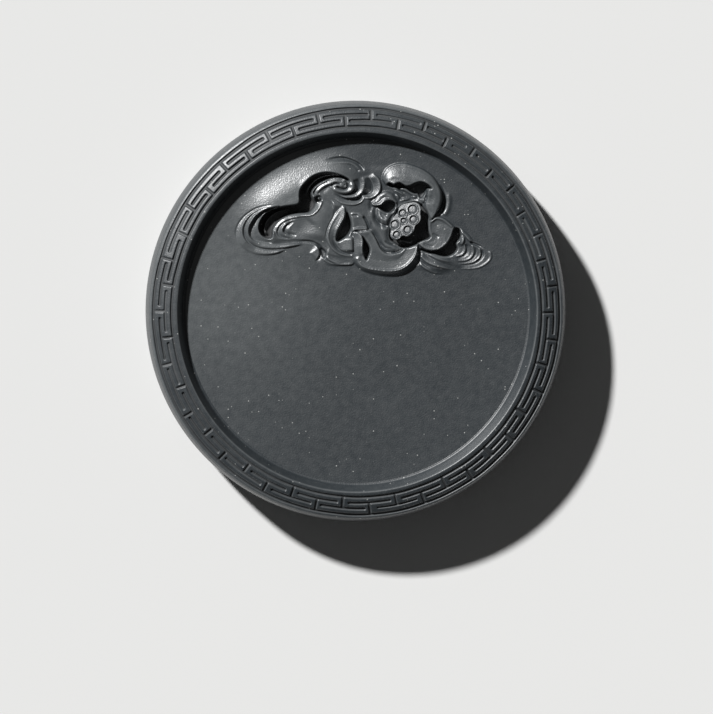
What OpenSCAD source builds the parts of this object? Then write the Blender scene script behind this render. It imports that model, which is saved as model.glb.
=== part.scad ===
// Round ink stone carved from one block: a drum with a raised rim, a flat grinding bed,
// a key fret cut into the rim, and a lotus among water scrolls carved above the bed.
// Origin: centre of the underside. +Z is up, +Y points to the carving. Millimetres.

/* [Stone] */
// Diameter at the widest line of the drum
stone_d = 89; // [87:0.5:95]
// Height from the underside to the lip
stone_t = 18; // [17:0.25:21]
// Height of the widest line above the underside
belly_z = 8.75; // [7.5:0.25:9.5]
// How far the drum draws in between the belly and the top arris
belly_in = 0.7; // [0.3:0.05:1.2]
// Bevel along the bottom edge
foot_bevel = 0.8; // [0.4:0.1:1.2]

/* [Rim] */
// Fall of the rim from the lip to the top arris
rim_fall = 1.95; // [1.2:0.05:2.3]
// Crown of the rim's top above the straight line from lip to arris
rim_crown = 0.26; // [0.1:0.02:0.4]
// Bevel on the top arris
arris_bevel = 0.25; // [0.15:0.05:0.4]
// Width of the rounded lip
lip_w = 0.3; // [0.2:0.05:0.4]
// Plain margin from the arris to the middle of the outer fret line
outer_margin = 0.9; // [0.8:0.05:1.3]
// Plain margin from the middle of the inner fret line to the lip
inner_margin = 1.23; // [1.0:0.05:1.5]

/* [Fret] */
// Number of interlocking T pairs round the rim
fret_units = 23; // [17:1:24]
// Distance between fret lines
fret_pitch = 1.257; // [1.1:0.01:1.35]
// Width of a cut line
fret_line_w = 0.6; // [0.4:0.05:0.7]
// Depth of a cut line
fret_line_d = 0.4; // [0.2:0.05:0.6]
// Stone left between the end of a T's bar and the next stem
fret_gap = 0.85; // [0.6:0.05:1.2]
// Angle of the first hanging stem
fret_start = 7.5; // [0:0.5:15]
// Thickness of the fret course
fret_t = 1.0; // [0.8:0.05:1.3]

/* [Well] */
// Depth of the grinding bed below the lip
well_d = 3.2; // [2.6:0.1:3.6]
// How far the well's wall leans out from its foot to the lip
wall_lean = 1.2; // [0.8:0.1:1.5]
// Radius of the fillet at the wall's foot
foot_fillet = 0.5; // [0.3:0.05:0.6]
// Thickness of the grinding bed
bed_t = 2.8; // [2.5:0.1:3.4]
// Depth of the ink pool and of the deep hollows below the bed
pool_d = 2.0; // [1.4:0.1:2.2]

/* [Carving] */
// Width of the carving from the scroll's left edge to the wave's right edge
carving_w = 54.3; // [49:0.1:56.5]
// Distance from the carving's centre line to the edge of the bed above it
carving_reach = 36.2; // [35.8:0.1:36.6]
// Height of the plain low edge of a carved strip
edge_h = 0.25; // [0.15:0.05:0.4]
// Height of the rippled water above the bed
ripple_h = 0.7; // [0.5:0.05:1.0]
// Height of the cloud scrolls above the bed
scroll_h = 1.25; // [0.9:0.05:1.6]
// Height of the petals' turned edges above the bed
petal_h = 1.5; // [1.1:0.05:1.9]
// Height of the large upper petal above the bed
hood_h = 2.1; // [1.7:0.05:2.4]
// Height of the middle of the seed pod's face above the bed
pod_h = 1.9; // [1.5:0.05:2.1]
// Tilt of the seed pod's face, down towards the upper left
pod_tilt = 10; // [4:1:11]
// Depth of the seed sockets
socket_d = 0.6; // [0.4:0.05:0.8]
// Clearance between a seed and its socket
seed_gap = 0.1; // [0.05:0.01:0.15]

/* [Hidden] */

stone_color = [0.24, 0.26, 0.26];
carved_color = [0.30, 0.32, 0.32];
bed_color = [0.20, 0.22, 0.22];

// Levels
bed_z = stone_t - well_d;
slab_z = bed_z - bed_t;
pool_z = bed_z - pool_d;

// Radii, worked inwards from the belly
belly_r = stone_d / 2;
arris_r = belly_r - belly_in;
fret_outer_r = arris_r - outer_margin;
fret_inner_r = fret_outer_r - 3 * fret_pitch;
lip_r = fret_inner_r - inner_margin;
wall_foot_r = lip_r - wall_lean;
bed_r = wall_foot_r - foot_fillet;

// Circle through the arris and the belly, for the drum's side
arris_z = stone_t - rim_fall;
side_rise = arris_z - belly_z;
side_r = (side_rise * side_rise + belly_in * belly_in) / (2 * belly_in);
side_x = belly_r - side_r;

// Circle over the rim's top, from the lip to the arris bevel
top_from = [lip_r + lip_w, stone_t];
top_to = [arris_r - arris_bevel, arris_z];
top_chord = norm(top_to - top_from);
top_r = (top_chord * top_chord / 4 + rim_crown * rim_crown) / (2 * rim_crown);
top_out = [top_from.y - top_to.y, top_to.x - top_from.x] / top_chord;
top_c = (top_from + top_to) / 2 - (top_r - rim_crown) * top_out;

// The fret course lies between these radii, a land beyond its outermost lines
course_land = 0.25;
course_edge = fret_line_w / 2 + course_land;
course_in = fret_inner_r - course_edge;
course_out = fret_outer_r + course_edge;

// Where the bowed side meets the underside
foot_r = side_x + sqrt(side_r * side_r - belly_z * belly_z);

// Centres of the lip's rounding and of the fillet, on the wall that leans between them
lip_c = [lip_r + lip_w, stone_t - lip_w];
wall_angle = atan2(well_d - lip_w, wall_lean);
fillet_c = [wall_foot_r - foot_fillet / tan((180 - wall_angle) / 2), bed_z + foot_fillet];

curve_fn = 120;

// How far a cutting shape goes on past the stone
past = 1;

// The carving's points are drawn for this width, and are scaled to the width asked for
drawn_w = 54.3;
carving_k = carving_w / drawn_w;

// Shares of a strip's or a ridge's length over which each end sinks or narrows
strip_run = 0.25;
ridge_run = 0.3;
narrow_run = 0.4;

// Radius of a seed's dome against the seed's own radius
dome_k = 1.3;

// Helpers for freehand curves

// Point at t in 0..1 between b and c of four control points, on a Catmull-Rom curve
function spline_point(a, b, c, d, t) =
    0.5 * (2 * b + (c - a) * t + (2 * a - 5 * b + 4 * c - d) * t * t
        + (3 * b - a - 3 * c + d) * t * t * t);

function at(path, i) = path[max(0, min(len(path) - 1, i))];

// Open curve through the control points, scaled to the carving, as steps + 1 points
function open_curve(path, steps) = carving_k * [
    for (i = [0:steps])
        let (s = i / steps * (len(path) - 1), k = min(floor(s), len(path) - 2))
        spline_point(at(path, k - 1), at(path, k), at(path, k + 1), at(path, k + 2), s - k)
];

// Closed outline through the control points, scaled to the carving, as steps points
function closed_curve(path, steps) = carving_k * [
    for (i = [0:steps - 1])
        let (n = len(path), s = i / steps * n, k = floor(s))
        spline_point(path[(k + n - 1) % n], path[k % n], path[(k + 1) % n], path[(k + 2) % n], s - k)
];

// The curve moved sideways to its left, by half a width that swells from tip_w to mid_w
function beside(curve, mid_w, tip_w, side) = [
    for (i = [0:len(curve) - 1])
        let (
            step = at(curve, i + 1) - at(curve, i - 1),
            left = [-step.y, step.x] / norm(step),
            w = carving_k * blend(tip_w, mid_w, swell(i / (len(curve) - 1), narrow_run))
        )
        curve[i] + side * w / 2 * left
];

function blend(a, b, t) = a + (b - a) * t;

// Rises from 0 at both ends of a strip to 1 along its middle
function swell(u, run) = sin(90 * min(1, min(u, 1 - u) / run));

function turned(faces) = [for (f = faces) [f[2], f[1], f[0]]];

// A carved strip between two edge curves of as many points, standing on the level z.
// The profile lists [place across 0..1, height above z], and the ends sink to low.
module strip_between(outer, inner, profile, z, run = strip_run, low = edge_h) {
    m = len(profile);
    n = len(outer);
    b = n * m;
    top = [
        for (i = [0:n - 1], p = profile)
            let (q = blend(outer[i], inner[i], p[0]))
            [q.x, q.y, z + low + (p[1] - low) * swell(i / (n - 1), run)]
    ];
    bottom = [for (i = [0:n - 1], q = [outer[i], inner[i]]) [q.x, q.y, z]];
    top_faces = [
        for (i = [0:n - 2], j = [0:m - 2])
            let (k = i * m + j)
            each [[k, k + 1, k + m], [k + 1, k + m + 1, k + m]]
    ];
    wall_faces = [
        for (i = [0:n - 2])
            let (t = i * m, u = t + m - 1, d = b + 2 * i)
            each [
                [t, t + m, d], [t + m, d + 2, d],
                [u, d + 1, u + m], [u + m, d + 1, d + 3],
                [d, d + 2, d + 1], [d + 1, d + 2, d + 3]
            ]
    ];
    t_end = (n - 1) * m;
    d_end = b + 2 * (n - 1);
    end_faces = concat(
        [for (j = [0:m - 2]) [j + 1, j, b]],
        [[m - 1, b, b + 1]],
        [for (j = [0:m - 2]) [t_end + j, t_end + j + 1, d_end]],
        [[t_end + m - 1, d_end + 1, d_end]]
    );
    faces = concat(top_faces, wall_faces, end_faces);
    k = floor(n / 2);
    along = outer[k + 1] - outer[k];
    across = inner[k] - outer[k];
    left_handed = cross(along, across) < 0;
    polyhedron(concat(top, bottom), left_handed ? turned(faces) : faces, convexity = 6);
}

// A strip whose two edges are given by control points
module strip(outer, inner, profile, z = bed_z, steps = 20, run = strip_run, low = edge_h)
    strip_between(open_curve(outer, steps), open_curve(inner, steps), profile, z, run, low);

// A rounded ridge along a path, mid_w wide along its middle and tip_w at its ends
module ridge(path, mid_w, tip_w, h, z = bed_z, steps = 20) {
    line = open_curve(path, steps);
    strip_between(
        beside(line, mid_w, tip_w, -1), beside(line, mid_w, tip_w, 1),
        [[0, edge_h], [0.25, 0.85 * h], [0.5, h], [0.75, 0.85 * h], [1, edge_h]],
        z, ridge_run
    );
}

// A ring of rows between a closed outline and a hole or a centre, standing on the level z.
// The outline runs anticlockwise, and a centre makes a pad with no hole.
module closed_strip(outline, inner, profile, z = bed_z) {
    n = len(outline);
    m = len(profile);
    b = n * m;
    solid_pad = len(inner) == 1;
    function inner_at(i) = solid_pad ? inner[0] : inner[i];
    top = [
        for (p = profile, i = [0:n - 1])
            let (q = blend(outline[i], inner_at(i), p[0]))
            [q.x, q.y, z + p[1]]
    ];
    bottom = concat(
        [for (q = outline) [q.x, q.y, z]],
        solid_pad ? [] : [for (q = inner) [q.x, q.y, z]]
    );
    rows = [
        for (j = [0:m - 2], i = [0:n - 1])
            let (k = j * n + i, e = j * n + (i + 1) % n)
            each [[k, k + n, e], [k + n, e + n, e]]
    ];
    outside = [
        for (i = [0:n - 1])
            let (e = (i + 1) % n)
            each [[i, e, b + i], [e, b + e, b + i]]
    ];
    in_row = (m - 1) * n;
    hole = [
        for (i = [0:n - 1])
            let (e = (i + 1) % n, t = in_row, d = b + n)
            each [
                [t + i, d + i, t + e], [t + e, d + i, d + e],
                [b + i, b + e, d + i], [b + e, d + e, d + i]
            ]
    ];
    middle = [inner[0].x, inner[0].y, z + profile[m - 1][1]];
    tip = b + n;
    pad = [
        for (i = [0:n - 1])
            let (e = (i + 1) % n)
            each [[in_row + i, tip, in_row + e], [b + i, b + e, tip + 1]]
    ];
    polyhedron(
        solid_pad ? concat(top, bottom, [middle, [middle.x, middle.y, z]]) : concat(top, bottom),
        concat(rows, outside, solid_pad ? pad : hole),
        convexity = 6
    );
}

// Control points of the carving as drawn, in millimetres from its centre. The carving's
// centre line lies carving_reach below the edge of the bed.

// The first ripple of the left scroll inside its shore, and the shore on from there
scroll_shore = [
    [-16.8, 22.2], [-19.2, 21.4], [-21.0, 20.2], [-22.1, 18.8], [-22.5, 17.2],
    [-22.1, 15.5], [-20.8, 14.2], [-18.6, 13.5], [-16.0, 13.45], [-13.5, 13.8], [-11.2, 14.2]
];
pool_shore = [
    [-11.2, 14.8], [-14.0, 14.95], [-15.9, 15.2], [-17.1, 15.9], [-17.6, 16.9], [-17.4, 18.0],
    [-16.3, 19.2], [-14.6, 20.2], [-12.4, 20.75], [-10.4, 20.9], [-9.3, 21.6], [-8.8, 22.6],
    [-9.2, 23.7], [-9.75, 24.8], [-9.5, 26.0], [-8.6, 27.2], [-7.2, 27.95], [-5.4, 28.3],
    [-3.6, 28.2], [-2.2, 27.7], [-1.2, 27.1], [-2.0, 28.2], [-3.8, 29.0], [-6.0, 29.3],
    [-8.4, 28.8], [-10.3, 27.8], [-11.5, 26.4], [-11.9, 24.7], [-12.2, 23.1], [-13.4, 22.45],
    [-15.2, 22.3]
];
hood_hollow = [
    [6.4, 26.8], [7.2, 27.1], [8.0, 26.8], [8.8, 27.1], [9.9, 26.5], [11.1, 26.4], [12.7, 27.1],
    [14.1, 27.0], [14.9, 26.3], [14.6, 25.2], [14.0, 24.3], [13.2, 24.0], [12.8, 24.8],
    [11.3, 25.4], [9.6, 26.0], [7.8, 26.1]
];
eye_hollow = [
    [4.6, 22.1], [5.5, 21.4], [6.5, 21.05], [7.3, 21.2], [7.9, 21.8], [7.9, 22.5], [7.3, 23.1],
    [6.5, 23.2], [5.6, 22.9]
];
left_slit = [
    [-2.2, 20.7], [-2.5, 19.6], [-3.3, 18.1], [-4.1, 16.4], [-4.2, 15.3], [-3.4, 15.2],
    [-2.2, 15.9], [-1.3, 17.1], [-1.15, 18.6], [-1.5, 20.1], [-1.8, 20.7]
];
front_slit = [
    [1.25, 15.8], [1.3, 14.2], [1.4, 12.6], [2.0, 11.0], [2.6, 12.2], [2.75, 13.3], [2.3, 14.4],
    [1.7, 15.3]
];
wave_hollow = [
    [20.6, 17.3], [21.2, 17.7], [21.8, 17.1], [21.8, 15.7], [21.35, 14.5], [21.2, 13.3],
    [20.4, 12.3], [19.2, 11.85], [17.4, 12.1], [15.6, 12.5], [16.6, 12.75], [18.2, 13.3],
    [19.4, 14.5], [20.1, 16.0]
];
pod_hollow = [
    [14.0, 21.8], [14.7, 21.0], [15.0, 19.8], [15.0, 18.0], [15.2, 16.4], [14.7, 15.6],
    [13.3, 15.2], [12.0, 14.6], [10.6, 14.2], [9.6, 14.7], [10.6, 15.2], [12.2, 16.2],
    [13.3, 17.6], [14.0, 19.0], [14.1, 20.5]
];
hood_moat = [
    [18.0, 26.6], [18.7, 24.9], [18.9, 23.0], [18.5, 21.5], [17.4, 20.5], [17.5, 21.4],
    [18.0, 22.8], [18.2, 24.6]
];
crest_hollow = [
    [-5.8, 32.2], [-4.6, 32.2], [-2.4, 31.8], [-0.6, 31.0], [0.3, 30.2], [0.6, 29.3],
    [1.1, 29.3], [1.5, 30.2], [1.2, 31.1], [-0.3, 32.0], [-1.6, 32.4], [-3.2, 32.6],
    [-4.8, 32.5]
];

// Each hollow in the bed, with its depth
pool_outline = concat(open_curve(scroll_shore, 30), open_curve(pool_shore, 60));
hollows = [
    [pool_outline, pool_d],
    [closed_curve(hood_hollow, 48), 0.75 * pool_d],
    [closed_curve(eye_hollow, 27), 0.6 * pool_d],
    [closed_curve(left_slit, 33), 0.75 * pool_d],
    [closed_curve(front_slit, 24), 0.75 * pool_d],
    [closed_curve(wave_hollow, 42), 0.75 * pool_d],
    [closed_curve(pod_hollow, 45), 0.5 * pool_d],
    [closed_curve(hood_moat, 24), 0.3 * pool_d],
    [closed_curve(crest_hollow, 39), 0.2 * pool_d]
];

// Outline of the pod's face as drawn, then its middle and its seven sockets as [x, y, radius]
pod_face = [
    [7.4, 15.5], [8.3, 15.2], [9.1, 15.7], [9.7, 16.1], [10.6, 15.95], [11.4, 16.4],
    [12.0, 17.2], [12.3, 18.2], [13.1, 18.9], [13.5, 19.8], [13.4, 20.8], [13.5, 21.9],
    [13.1, 22.8], [12.1, 23.2], [10.9, 23.0], [9.7, 22.7], [8.9, 22.0], [8.6, 21.0],
    [7.9, 20.2], [7.2, 19.3], [6.95, 18.2], [7.15, 17.2], [7.0, 16.3]
];
pod_c = carving_k * [10.3, 19.2];
sockets = carving_k * [
    [11.75, 21.65, 0.98], [9.65, 20.85, 0.82], [11.9, 19.6, 0.8], [9.85, 19.3, 0.62],
    [8.0, 18.45, 0.92], [10.65, 17.4, 0.84], [8.35, 16.35, 0.74]
];

module in_carving() translate([0, bed_r - carving_reach, 0]) children();

// The drum, the rim and the bed

// Points of an arc about c, from angle a0 to a1
function arc(c, r, a0, a1, steps = 6) =
    [for (i = [0:steps]) let (a = blend(a0, a1, i / steps)) c + r * [cos(a), sin(a)]];

// Half section of the drum: the bevel of the foot, and the bowed side above it
module drum_half()
    intersection() {
        polygon([
            [0, 0], [foot_r - foot_bevel, 0], [foot_r - foot_bevel + stone_t, stone_t], [0, stone_t]
        ]);
        translate([side_x, belly_z]) circle(r = side_r, $fn = curve_fn);
    }

// Everything under the crowned top of the rim, sunk by depth
module under_top(depth)
    translate(top_c) circle(r = top_r - depth, $fn = curve_fn);

// The radial stretch that the fret course takes up
module course_column()
    translate([course_in, slab_z]) square([course_out - course_in, stone_t]);

module rim_half()
    difference() {
        intersection() {
            polygon(concat(
                [
                    [bed_r, slab_z], [belly_r + past, slab_z],
                    top_to + (belly_r + past - top_to.x) * [1, -1],
                    top_to, top_to + 2 * rim_crown * top_out, top_from + 2 * rim_crown * top_out
                ],
                arc(lip_c, lip_w, 90, 180),
                arc(fillet_c, foot_fillet, wall_angle - 90, -90),
                [[bed_r, bed_z]]
            ));
            translate([side_x, belly_z]) circle(r = side_r, $fn = curve_fn);
            under_top(0);
        }
        difference() {
            course_column();
            under_top(fret_t);
        }
    }

// The course between two depths under the rim's top
module course_half(depth_from, depth_to)
    difference() {
        intersection() {
            course_column();
            under_top(depth_from);
        }
        under_top(depth_to);
    }

module stone_body()
    color(stone_color)
        rotate_extrude($fn = curve_fn)
            intersection() {
                drum_half();
                square([belly_r + past, slab_z]);
            }

module rim()
    color(stone_color) rotate_extrude($fn = curve_fn) rim_half();

// A block of cut between two radii and two angles, from the bed to above the rim
module cut_sector(r_in, r_out, a0, a1)
    rotate_extrude(angle = a1 - a0, start = a0, $fn = curve_fn)
        translate([r_in, bed_z]) square([r_out - r_in, well_d + past]);

// A T with its stem from one line towards the next but one, and its bar across the stem's end
module fret_tee(stem_from, stem_to, angle) {
    stem_half = fret_line_w / 2 / ((stem_from + stem_to) / 2) * 180 / PI;
    bar_half = 180 / fret_units - stem_half - fret_gap / stem_to * 180 / PI;
    cut_sector(min(stem_from, stem_to), max(stem_from, stem_to), angle - stem_half, angle + stem_half);
    cut_sector(stem_to - fret_line_w / 2, stem_to + fret_line_w / 2, angle - bar_half, angle + bar_half);
}

module fret_lines() {
    for (r = [fret_inner_r, fret_outer_r])
        rotate_extrude($fn = curve_fn)
            translate([r - fret_line_w / 2, bed_z]) square([fret_line_w, well_d + past]);
    for (i = [0:fret_units - 1]) {
        angle = fret_start + i * 360 / fret_units;
        fret_tee(fret_outer_r, fret_inner_r + fret_pitch, angle);
        fret_tee(fret_inner_r, fret_outer_r - fret_pitch, angle + 180 / fret_units);
    }
}

module fret_band()
    color(carved_color)
        difference() {
            rotate_extrude($fn = curve_fn) course_half(0, fret_t);
            intersection() {
                rotate_extrude($fn = curve_fn) course_half(-past, fret_line_d);
                fret_lines();
            }
        }

module grinding_bed()
    color(bed_color)
        difference() {
            translate([0, 0, slab_z]) cylinder(r = bed_r, h = bed_t, $fn = curve_fn);
            in_carving()
                for (h = hollows)
                    translate([0, 0, bed_z - h[1]]) linear_extrude(h[1] + past) polygon(h[0]);
        }

// Water and clouds

// Heights across a strip: a crown, a turned-up outer edge, and a wave that leans on its far side
function crowned(h, low) = [
    [0, low], [0.2, blend(low, h, 0.7)], [0.5, h], [0.8, blend(low, h, 0.7)], [1, low]
];
function turned_up(h, hollow) = [
    [0, 0.75 * h], [0.12, h], [0.3, blend(hollow, h, 0.35)], [0.65, hollow], [1, 0.8 * hollow]
];
function leaning(h, low) = [
    [0, low], [0.45, blend(low, h, 0.6)], [0.8, h], [1, blend(low, h, 0.5)]
];

module water_scroll()
    color(carved_color) in_carving() {
        // Two ripples inside the shore, each a step lower, standing on the pool's floor
        strip_between(
            open_curve(scroll_shore, 30),
            open_curve([
                [-16.6, 21.9], [-18.3, 21.1], [-19.6, 20.0], [-20.4, 18.6], [-20.65, 17.2],
                [-20.3, 15.9], [-19.2, 15.1], [-17.4, 14.85], [-15.4, 14.7], [-13.2, 14.6],
                [-11.3, 14.65]
            ], 30),
            leaning(pool_d - 0.1, pool_d - 0.45), pool_z, 0.2, pool_d - 0.8
        );
        strip(
            [
                [-15.9, 21.8], [-17.9, 20.95], [-19.2, 19.85], [-20.0, 18.6],
                [-20.25, 17.2], [-19.9, 16.1], [-18.9, 15.5]
            ],
            [
                [-15.6, 21.3], [-16.9, 20.5], [-17.9, 19.6], [-18.6, 18.5],
                [-18.8, 17.4], [-18.6, 16.4], [-18.1, 15.7]
            ],
            leaning(pool_d - 0.6, pool_d - 1.0), z = pool_z, low = pool_d - 1.2
        );
        // The ledge that follows the pool up round the spiral
        ridge(
            [[-11.1, 24.7], [-10.75, 26.1], [-9.7, 27.3], [-8.2, 28.1], [-6.6, 28.5], [-5.0, 28.65]],
            0.6, 0.25, pool_d - 0.7, z = pool_z
        );
    }

module scroll_ripples()
    color(carved_color) in_carving() {
        strip(
            [
                [-18.6, 22.6], [-20.8, 22.15], [-22.9, 21.1], [-24.8, 19.3], [-25.7, 17.2],
                [-25.3, 14.9], [-23.6, 13.1], [-21.2, 12.15], [-18.6, 11.95], [-16.0, 12.5]
            ],
            [
                [-18.9, 22.35], [-20.9, 21.6], [-22.6, 20.4], [-23.8, 18.9], [-24.1, 17.2],
                [-23.7, 15.5], [-22.5, 14.0], [-20.8, 13.15], [-18.5, 12.85], [-16.1, 12.85]
            ],
            leaning(0.8 * ripple_h, edge_h), steps = 28
        );
        strip(
            [
                [-18.9, 22.05], [-20.7, 21.35], [-22.3, 20.2], [-23.4, 18.8],
                [-23.8, 17.2], [-23.4, 15.7], [-22.3, 14.3]
            ],
            [
                [-18.6, 21.95], [-20.0, 21.35], [-21.3, 20.4], [-22.35, 19.0],
                [-22.8, 17.3], [-22.4, 15.7], [-21.7, 14.5]
            ],
            leaning(ripple_h, edge_h)
        );
    }

module scroll_core()
    color(carved_color) in_carving() {
        ridge(
            [
                [-12.9, 15.4], [-14.4, 15.4], [-15.9, 15.75], [-16.9, 16.4], [-17.15, 17.3], [-16.7, 18.3],
                [-15.5, 19.2], [-14.1, 19.85], [-12.3, 20.2], [-10.3, 20.35], [-8.7, 20.95],
                [-8.1, 22.1], [-8.2, 23.2]
            ],
            0.6, 0.3, scroll_h * 0.7, steps = 34
        );
        ridge(
            [
                [-13.4, 16.0], [-14.7, 16.1], [-15.8, 16.7], [-16.1, 17.5],
                [-15.6, 18.4], [-14.6, 19.05], [-13.3, 19.45]
            ],
            0.6, 0.25, ripple_h
        );
        ridge(
            [[-12.9, 16.7], [-14.0, 16.8], [-14.7, 17.4], [-14.6, 18.1], [-13.8, 18.6], [-12.8, 18.95]],
            0.5, 0.25, ripple_h * 0.8
        );
    }

module cloud_ground()
    color(carved_color) in_carving()
        strip(
            [
                [-13.6, 17.95], [-12.3, 18.5], [-10.4, 19.5], [-8.6, 20.0], [-7.3, 20.8], [-6.4, 22.0],
                [-5.2, 22.3], [-3.9, 22.0]
            ],
            [
                [-13.6, 17.4], [-12.4, 16.5], [-10.8, 15.7], [-9.0, 15.2], [-7.4, 15.2], [-6.95, 16.9],
                [-6.2, 19.1], [-4.6, 21.2]
            ],
            crowned(ripple_h, edge_h), steps = 24
        );

module spiral_cloud()
    color(carved_color) in_carving() {
        ridge(
            [
                [-9.0, 24.3], [-8.75, 25.3], [-7.9, 26.3], [-6.4, 27.1], [-4.6, 27.6], [-3.2, 27.4],
                [-2.6, 26.9], [-2.75, 26.4], [-3.4, 26.4]
            ],
            0.85, 0.35, scroll_h, steps = 36
        );
        ridge(
            [
                [-2.05, 27.2], [-1.35, 26.85], [-1.15, 26.1], [-1.8, 25.5], [-3.0, 25.3], [-4.2, 25.6],
                [-4.85, 26.2], [-4.75, 26.8], [-4.2, 26.8]
            ],
            0.7, 0.3, scroll_h, steps = 36
        );
    }

module spiral_steps()
    color(carved_color) in_carving() {
        ridge(
            [
                [1.0, 28.2], [1.35, 27.0], [1.2, 25.9], [0.5, 25.1],
                [-0.8, 24.6], [-2.2, 24.45], [-3.6, 24.8]
            ],
            0.5, 0.25, 0.8 * scroll_h, steps = 26
        );
        ridge(
            [[-4.9, 24.1], [-4.0, 23.4], [-2.8, 22.95], [-1.2, 22.8], [0.1, 23.05], [0.8, 23.6]],
            0.8, 0.3, scroll_h
        );
    }

module shell_fold()
    color(carved_color) in_carving()
        strip(
            [
                [1.2, 23.9], [2.4, 23.9], [3.6, 24.2], [4.6, 25.1],
                [4.9, 26.4], [4.5, 27.7], [3.4, 28.7], [2.2, 29.1]
            ],
            [
                [1.4, 24.4], [2.2, 24.7], [2.9, 25.1], [3.3, 25.8],
                [3.3, 26.6], [3.0, 27.4], [2.5, 28.0], [2.0, 28.4]
            ],
            turned_up(scroll_h, edge_h)
        );

// Lotus

module left_petal()
    color(carved_color) in_carving()
        strip(
            [
                [-3.0, 22.0], [-4.2, 20.8], [-5.5, 19.1], [-6.25, 17.1], [-6.3, 15.0], [-6.2, 12.7],
                [-5.5, 10.9], [-3.6, 10.0], [-0.7, 10.1]
            ],
            [
                [-2.65, 21.6], [-2.75, 20.2], [-3.6, 18.5], [-4.5, 16.6], [-4.8, 14.9], [-4.7, 13.5],
                [-3.9, 12.4], [-2.6, 11.95], [-1.0, 11.8]
            ],
            turned_up(0.8 * petal_h, 0.55 * petal_h), steps = 28
        );

module petal_heart()
    color(carved_color) in_carving()
        strip(
            [[-4.35, 13.9], [-3.6, 12.9], [-2.6, 12.35], [-1.0, 12.2]],
            [[-4.25, 14.7], [-3.2, 15.0], [-2.0, 15.8], [-1.1, 16.6]],
            [[0, edge_h], [0.3, 0.35 * petal_h], [0.8, 0.6 * petal_h], [1, 0.4 * petal_h]], steps = 14
        );

module folded_leaf()
    color(carved_color) in_carving()
        closed_strip(
            closed_curve([
                [-0.95, 19.4], [-0.85, 18.3], [-0.8, 17.2], [-0.2, 17.3], [1.1, 17.35], [2.2, 17.6],
                [1.75, 19.0], [1.1, 20.2], [0.2, 20.55], [-0.85, 20.45]
            ], 30),
            [carving_k * [0.6, 18.8]],
            [[0, 0.6 * petal_h], [0.12, 0.75 * petal_h], [0.4, 0.45 * petal_h], [0.8, 0.4 * petal_h]]
        );

module turned_edge()
    color(carved_color) in_carving()
        strip(
            [[-0.75, 16.6], [-0.45, 15.6], [-0.5, 14.1], [-0.55, 12.5], [-0.2, 11.2]],
            [[-0.3, 16.85], [0.75, 16.05], [1.1, 14.9], [1.15, 13.0], [1.5, 11.4]],
            crowned(0.95 * petal_h, edge_h), steps = 16
        );

module front_petal()
    color(carved_color) in_carving()
        strip(
            [
                [0.3, 10.1], [1.6, 8.95], [3.4, 8.2], [5.8, 7.8], [8.2, 7.95], [10.4, 8.8], [12.1, 10.3],
                [12.9, 12.2], [12.95, 13.6]
            ],
            [
                [1.75, 10.9], [2.7, 11.8], [3.2, 13.4], [3.6, 15.3], [4.6, 13.5], [5.9, 12.2],
                [7.8, 12.0], [9.9, 12.8], [12.0, 13.8]
            ],
            turned_up(petal_h, 0.5 * petal_h), steps = 32
        );

module inner_petal()
    color(carved_color) in_carving()
        strip(
            [
                [3.2, 21.6], [2.6, 19.6], [2.7, 17.6], [3.9, 16.2], [4.9, 14.4], [5.9, 13.0],
                [7.4, 12.5], [9.2, 13.0]
            ],
            [
                [3.75, 21.2], [3.7, 19.8], [4.8, 18.2], [6.4, 17.7], [6.65, 16.5], [6.8, 15.3],
                [7.8, 14.5], [9.2, 13.8]
            ],
            crowned(0.8 * petal_h, edge_h), steps = 26
        );

module small_petal()
    color(carved_color) in_carving()
        closed_strip(
            closed_curve([
                [4.1, 20.6], [4.7, 19.2], [5.8, 18.5], [6.6, 18.5], [6.9, 19.3], [7.6, 20.3], [8.3, 21.2],
                [8.5, 22.3], [8.3, 23.4], [7.4, 24.3], [6.2, 24.5], [5.0, 24.0], [3.9, 23.3], [4.0, 22.0]
            ], 36),
            closed_curve([
                [4.6, 22.1], [5.0, 21.75], [5.5, 21.4], [6.0, 21.15], [6.5, 21.05], [7.0, 21.05],
                [7.5, 21.35], [7.9, 21.8], [7.95, 22.3], [7.6, 22.85], [7.0, 23.15], [6.3, 23.15],
                [5.6, 22.9], [5.0, 22.5]
            ], 36),
            [[0, 0.3 * petal_h], [0.3, 0.75 * petal_h], [0.75, 0.9 * petal_h], [1, 0.75 * petal_h]]
        );

module hood_petal()
    color(carved_color) in_carving()
        strip(
            [
                [5.6, 27.2], [5.6, 28.9], [6.5, 30.4], [8.3, 31.2], [10.5, 31.2], [13.2, 30.4],
                [15.6, 29.0], [17.2, 27.1], [17.8, 24.8], [17.6, 22.6], [16.8, 21.0], [15.7, 19.8]
            ],
            [
                [6.1, 27.3], [7.0, 27.5], [8.2, 27.25], [9.2, 27.35], [10.4, 26.85], [11.8, 27.15],
                [13.4, 27.55], [14.9, 27.0], [15.3, 25.6], [15.1, 23.9], [15.35, 21.8], [15.3, 20.1]
            ],
            [
                [0, 0.35 * hood_h], [0.15, 0.7 * hood_h], [0.45, hood_h], [0.75, 0.95 * hood_h],
                [1, 0.75 * hood_h]
            ],
            steps = 40, run = 0.12
        );

module right_petal()
    color(carved_color) in_carving()
        closed_strip(
            closed_curve([
                [15.5, 17.8], [15.7, 16.3], [15.2, 15.2], [14.0, 14.8], [13.6, 14.0], [14.6, 13.2],
                [16.2, 13.0], [17.9, 13.5], [19.1, 14.7], [19.85, 16.1], [20.3, 17.6], [19.8, 18.5],
                [18.7, 19.4], [17.4, 19.85], [16.4, 19.7], [15.5, 19.0]
            ], 40),
            [carving_k * [17.2, 16.4]],
            [[0, 0.8 * petal_h], [0.1, petal_h], [0.25, 0.7 * petal_h], [0.6, 0.45 * petal_h]]
        );

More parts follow.
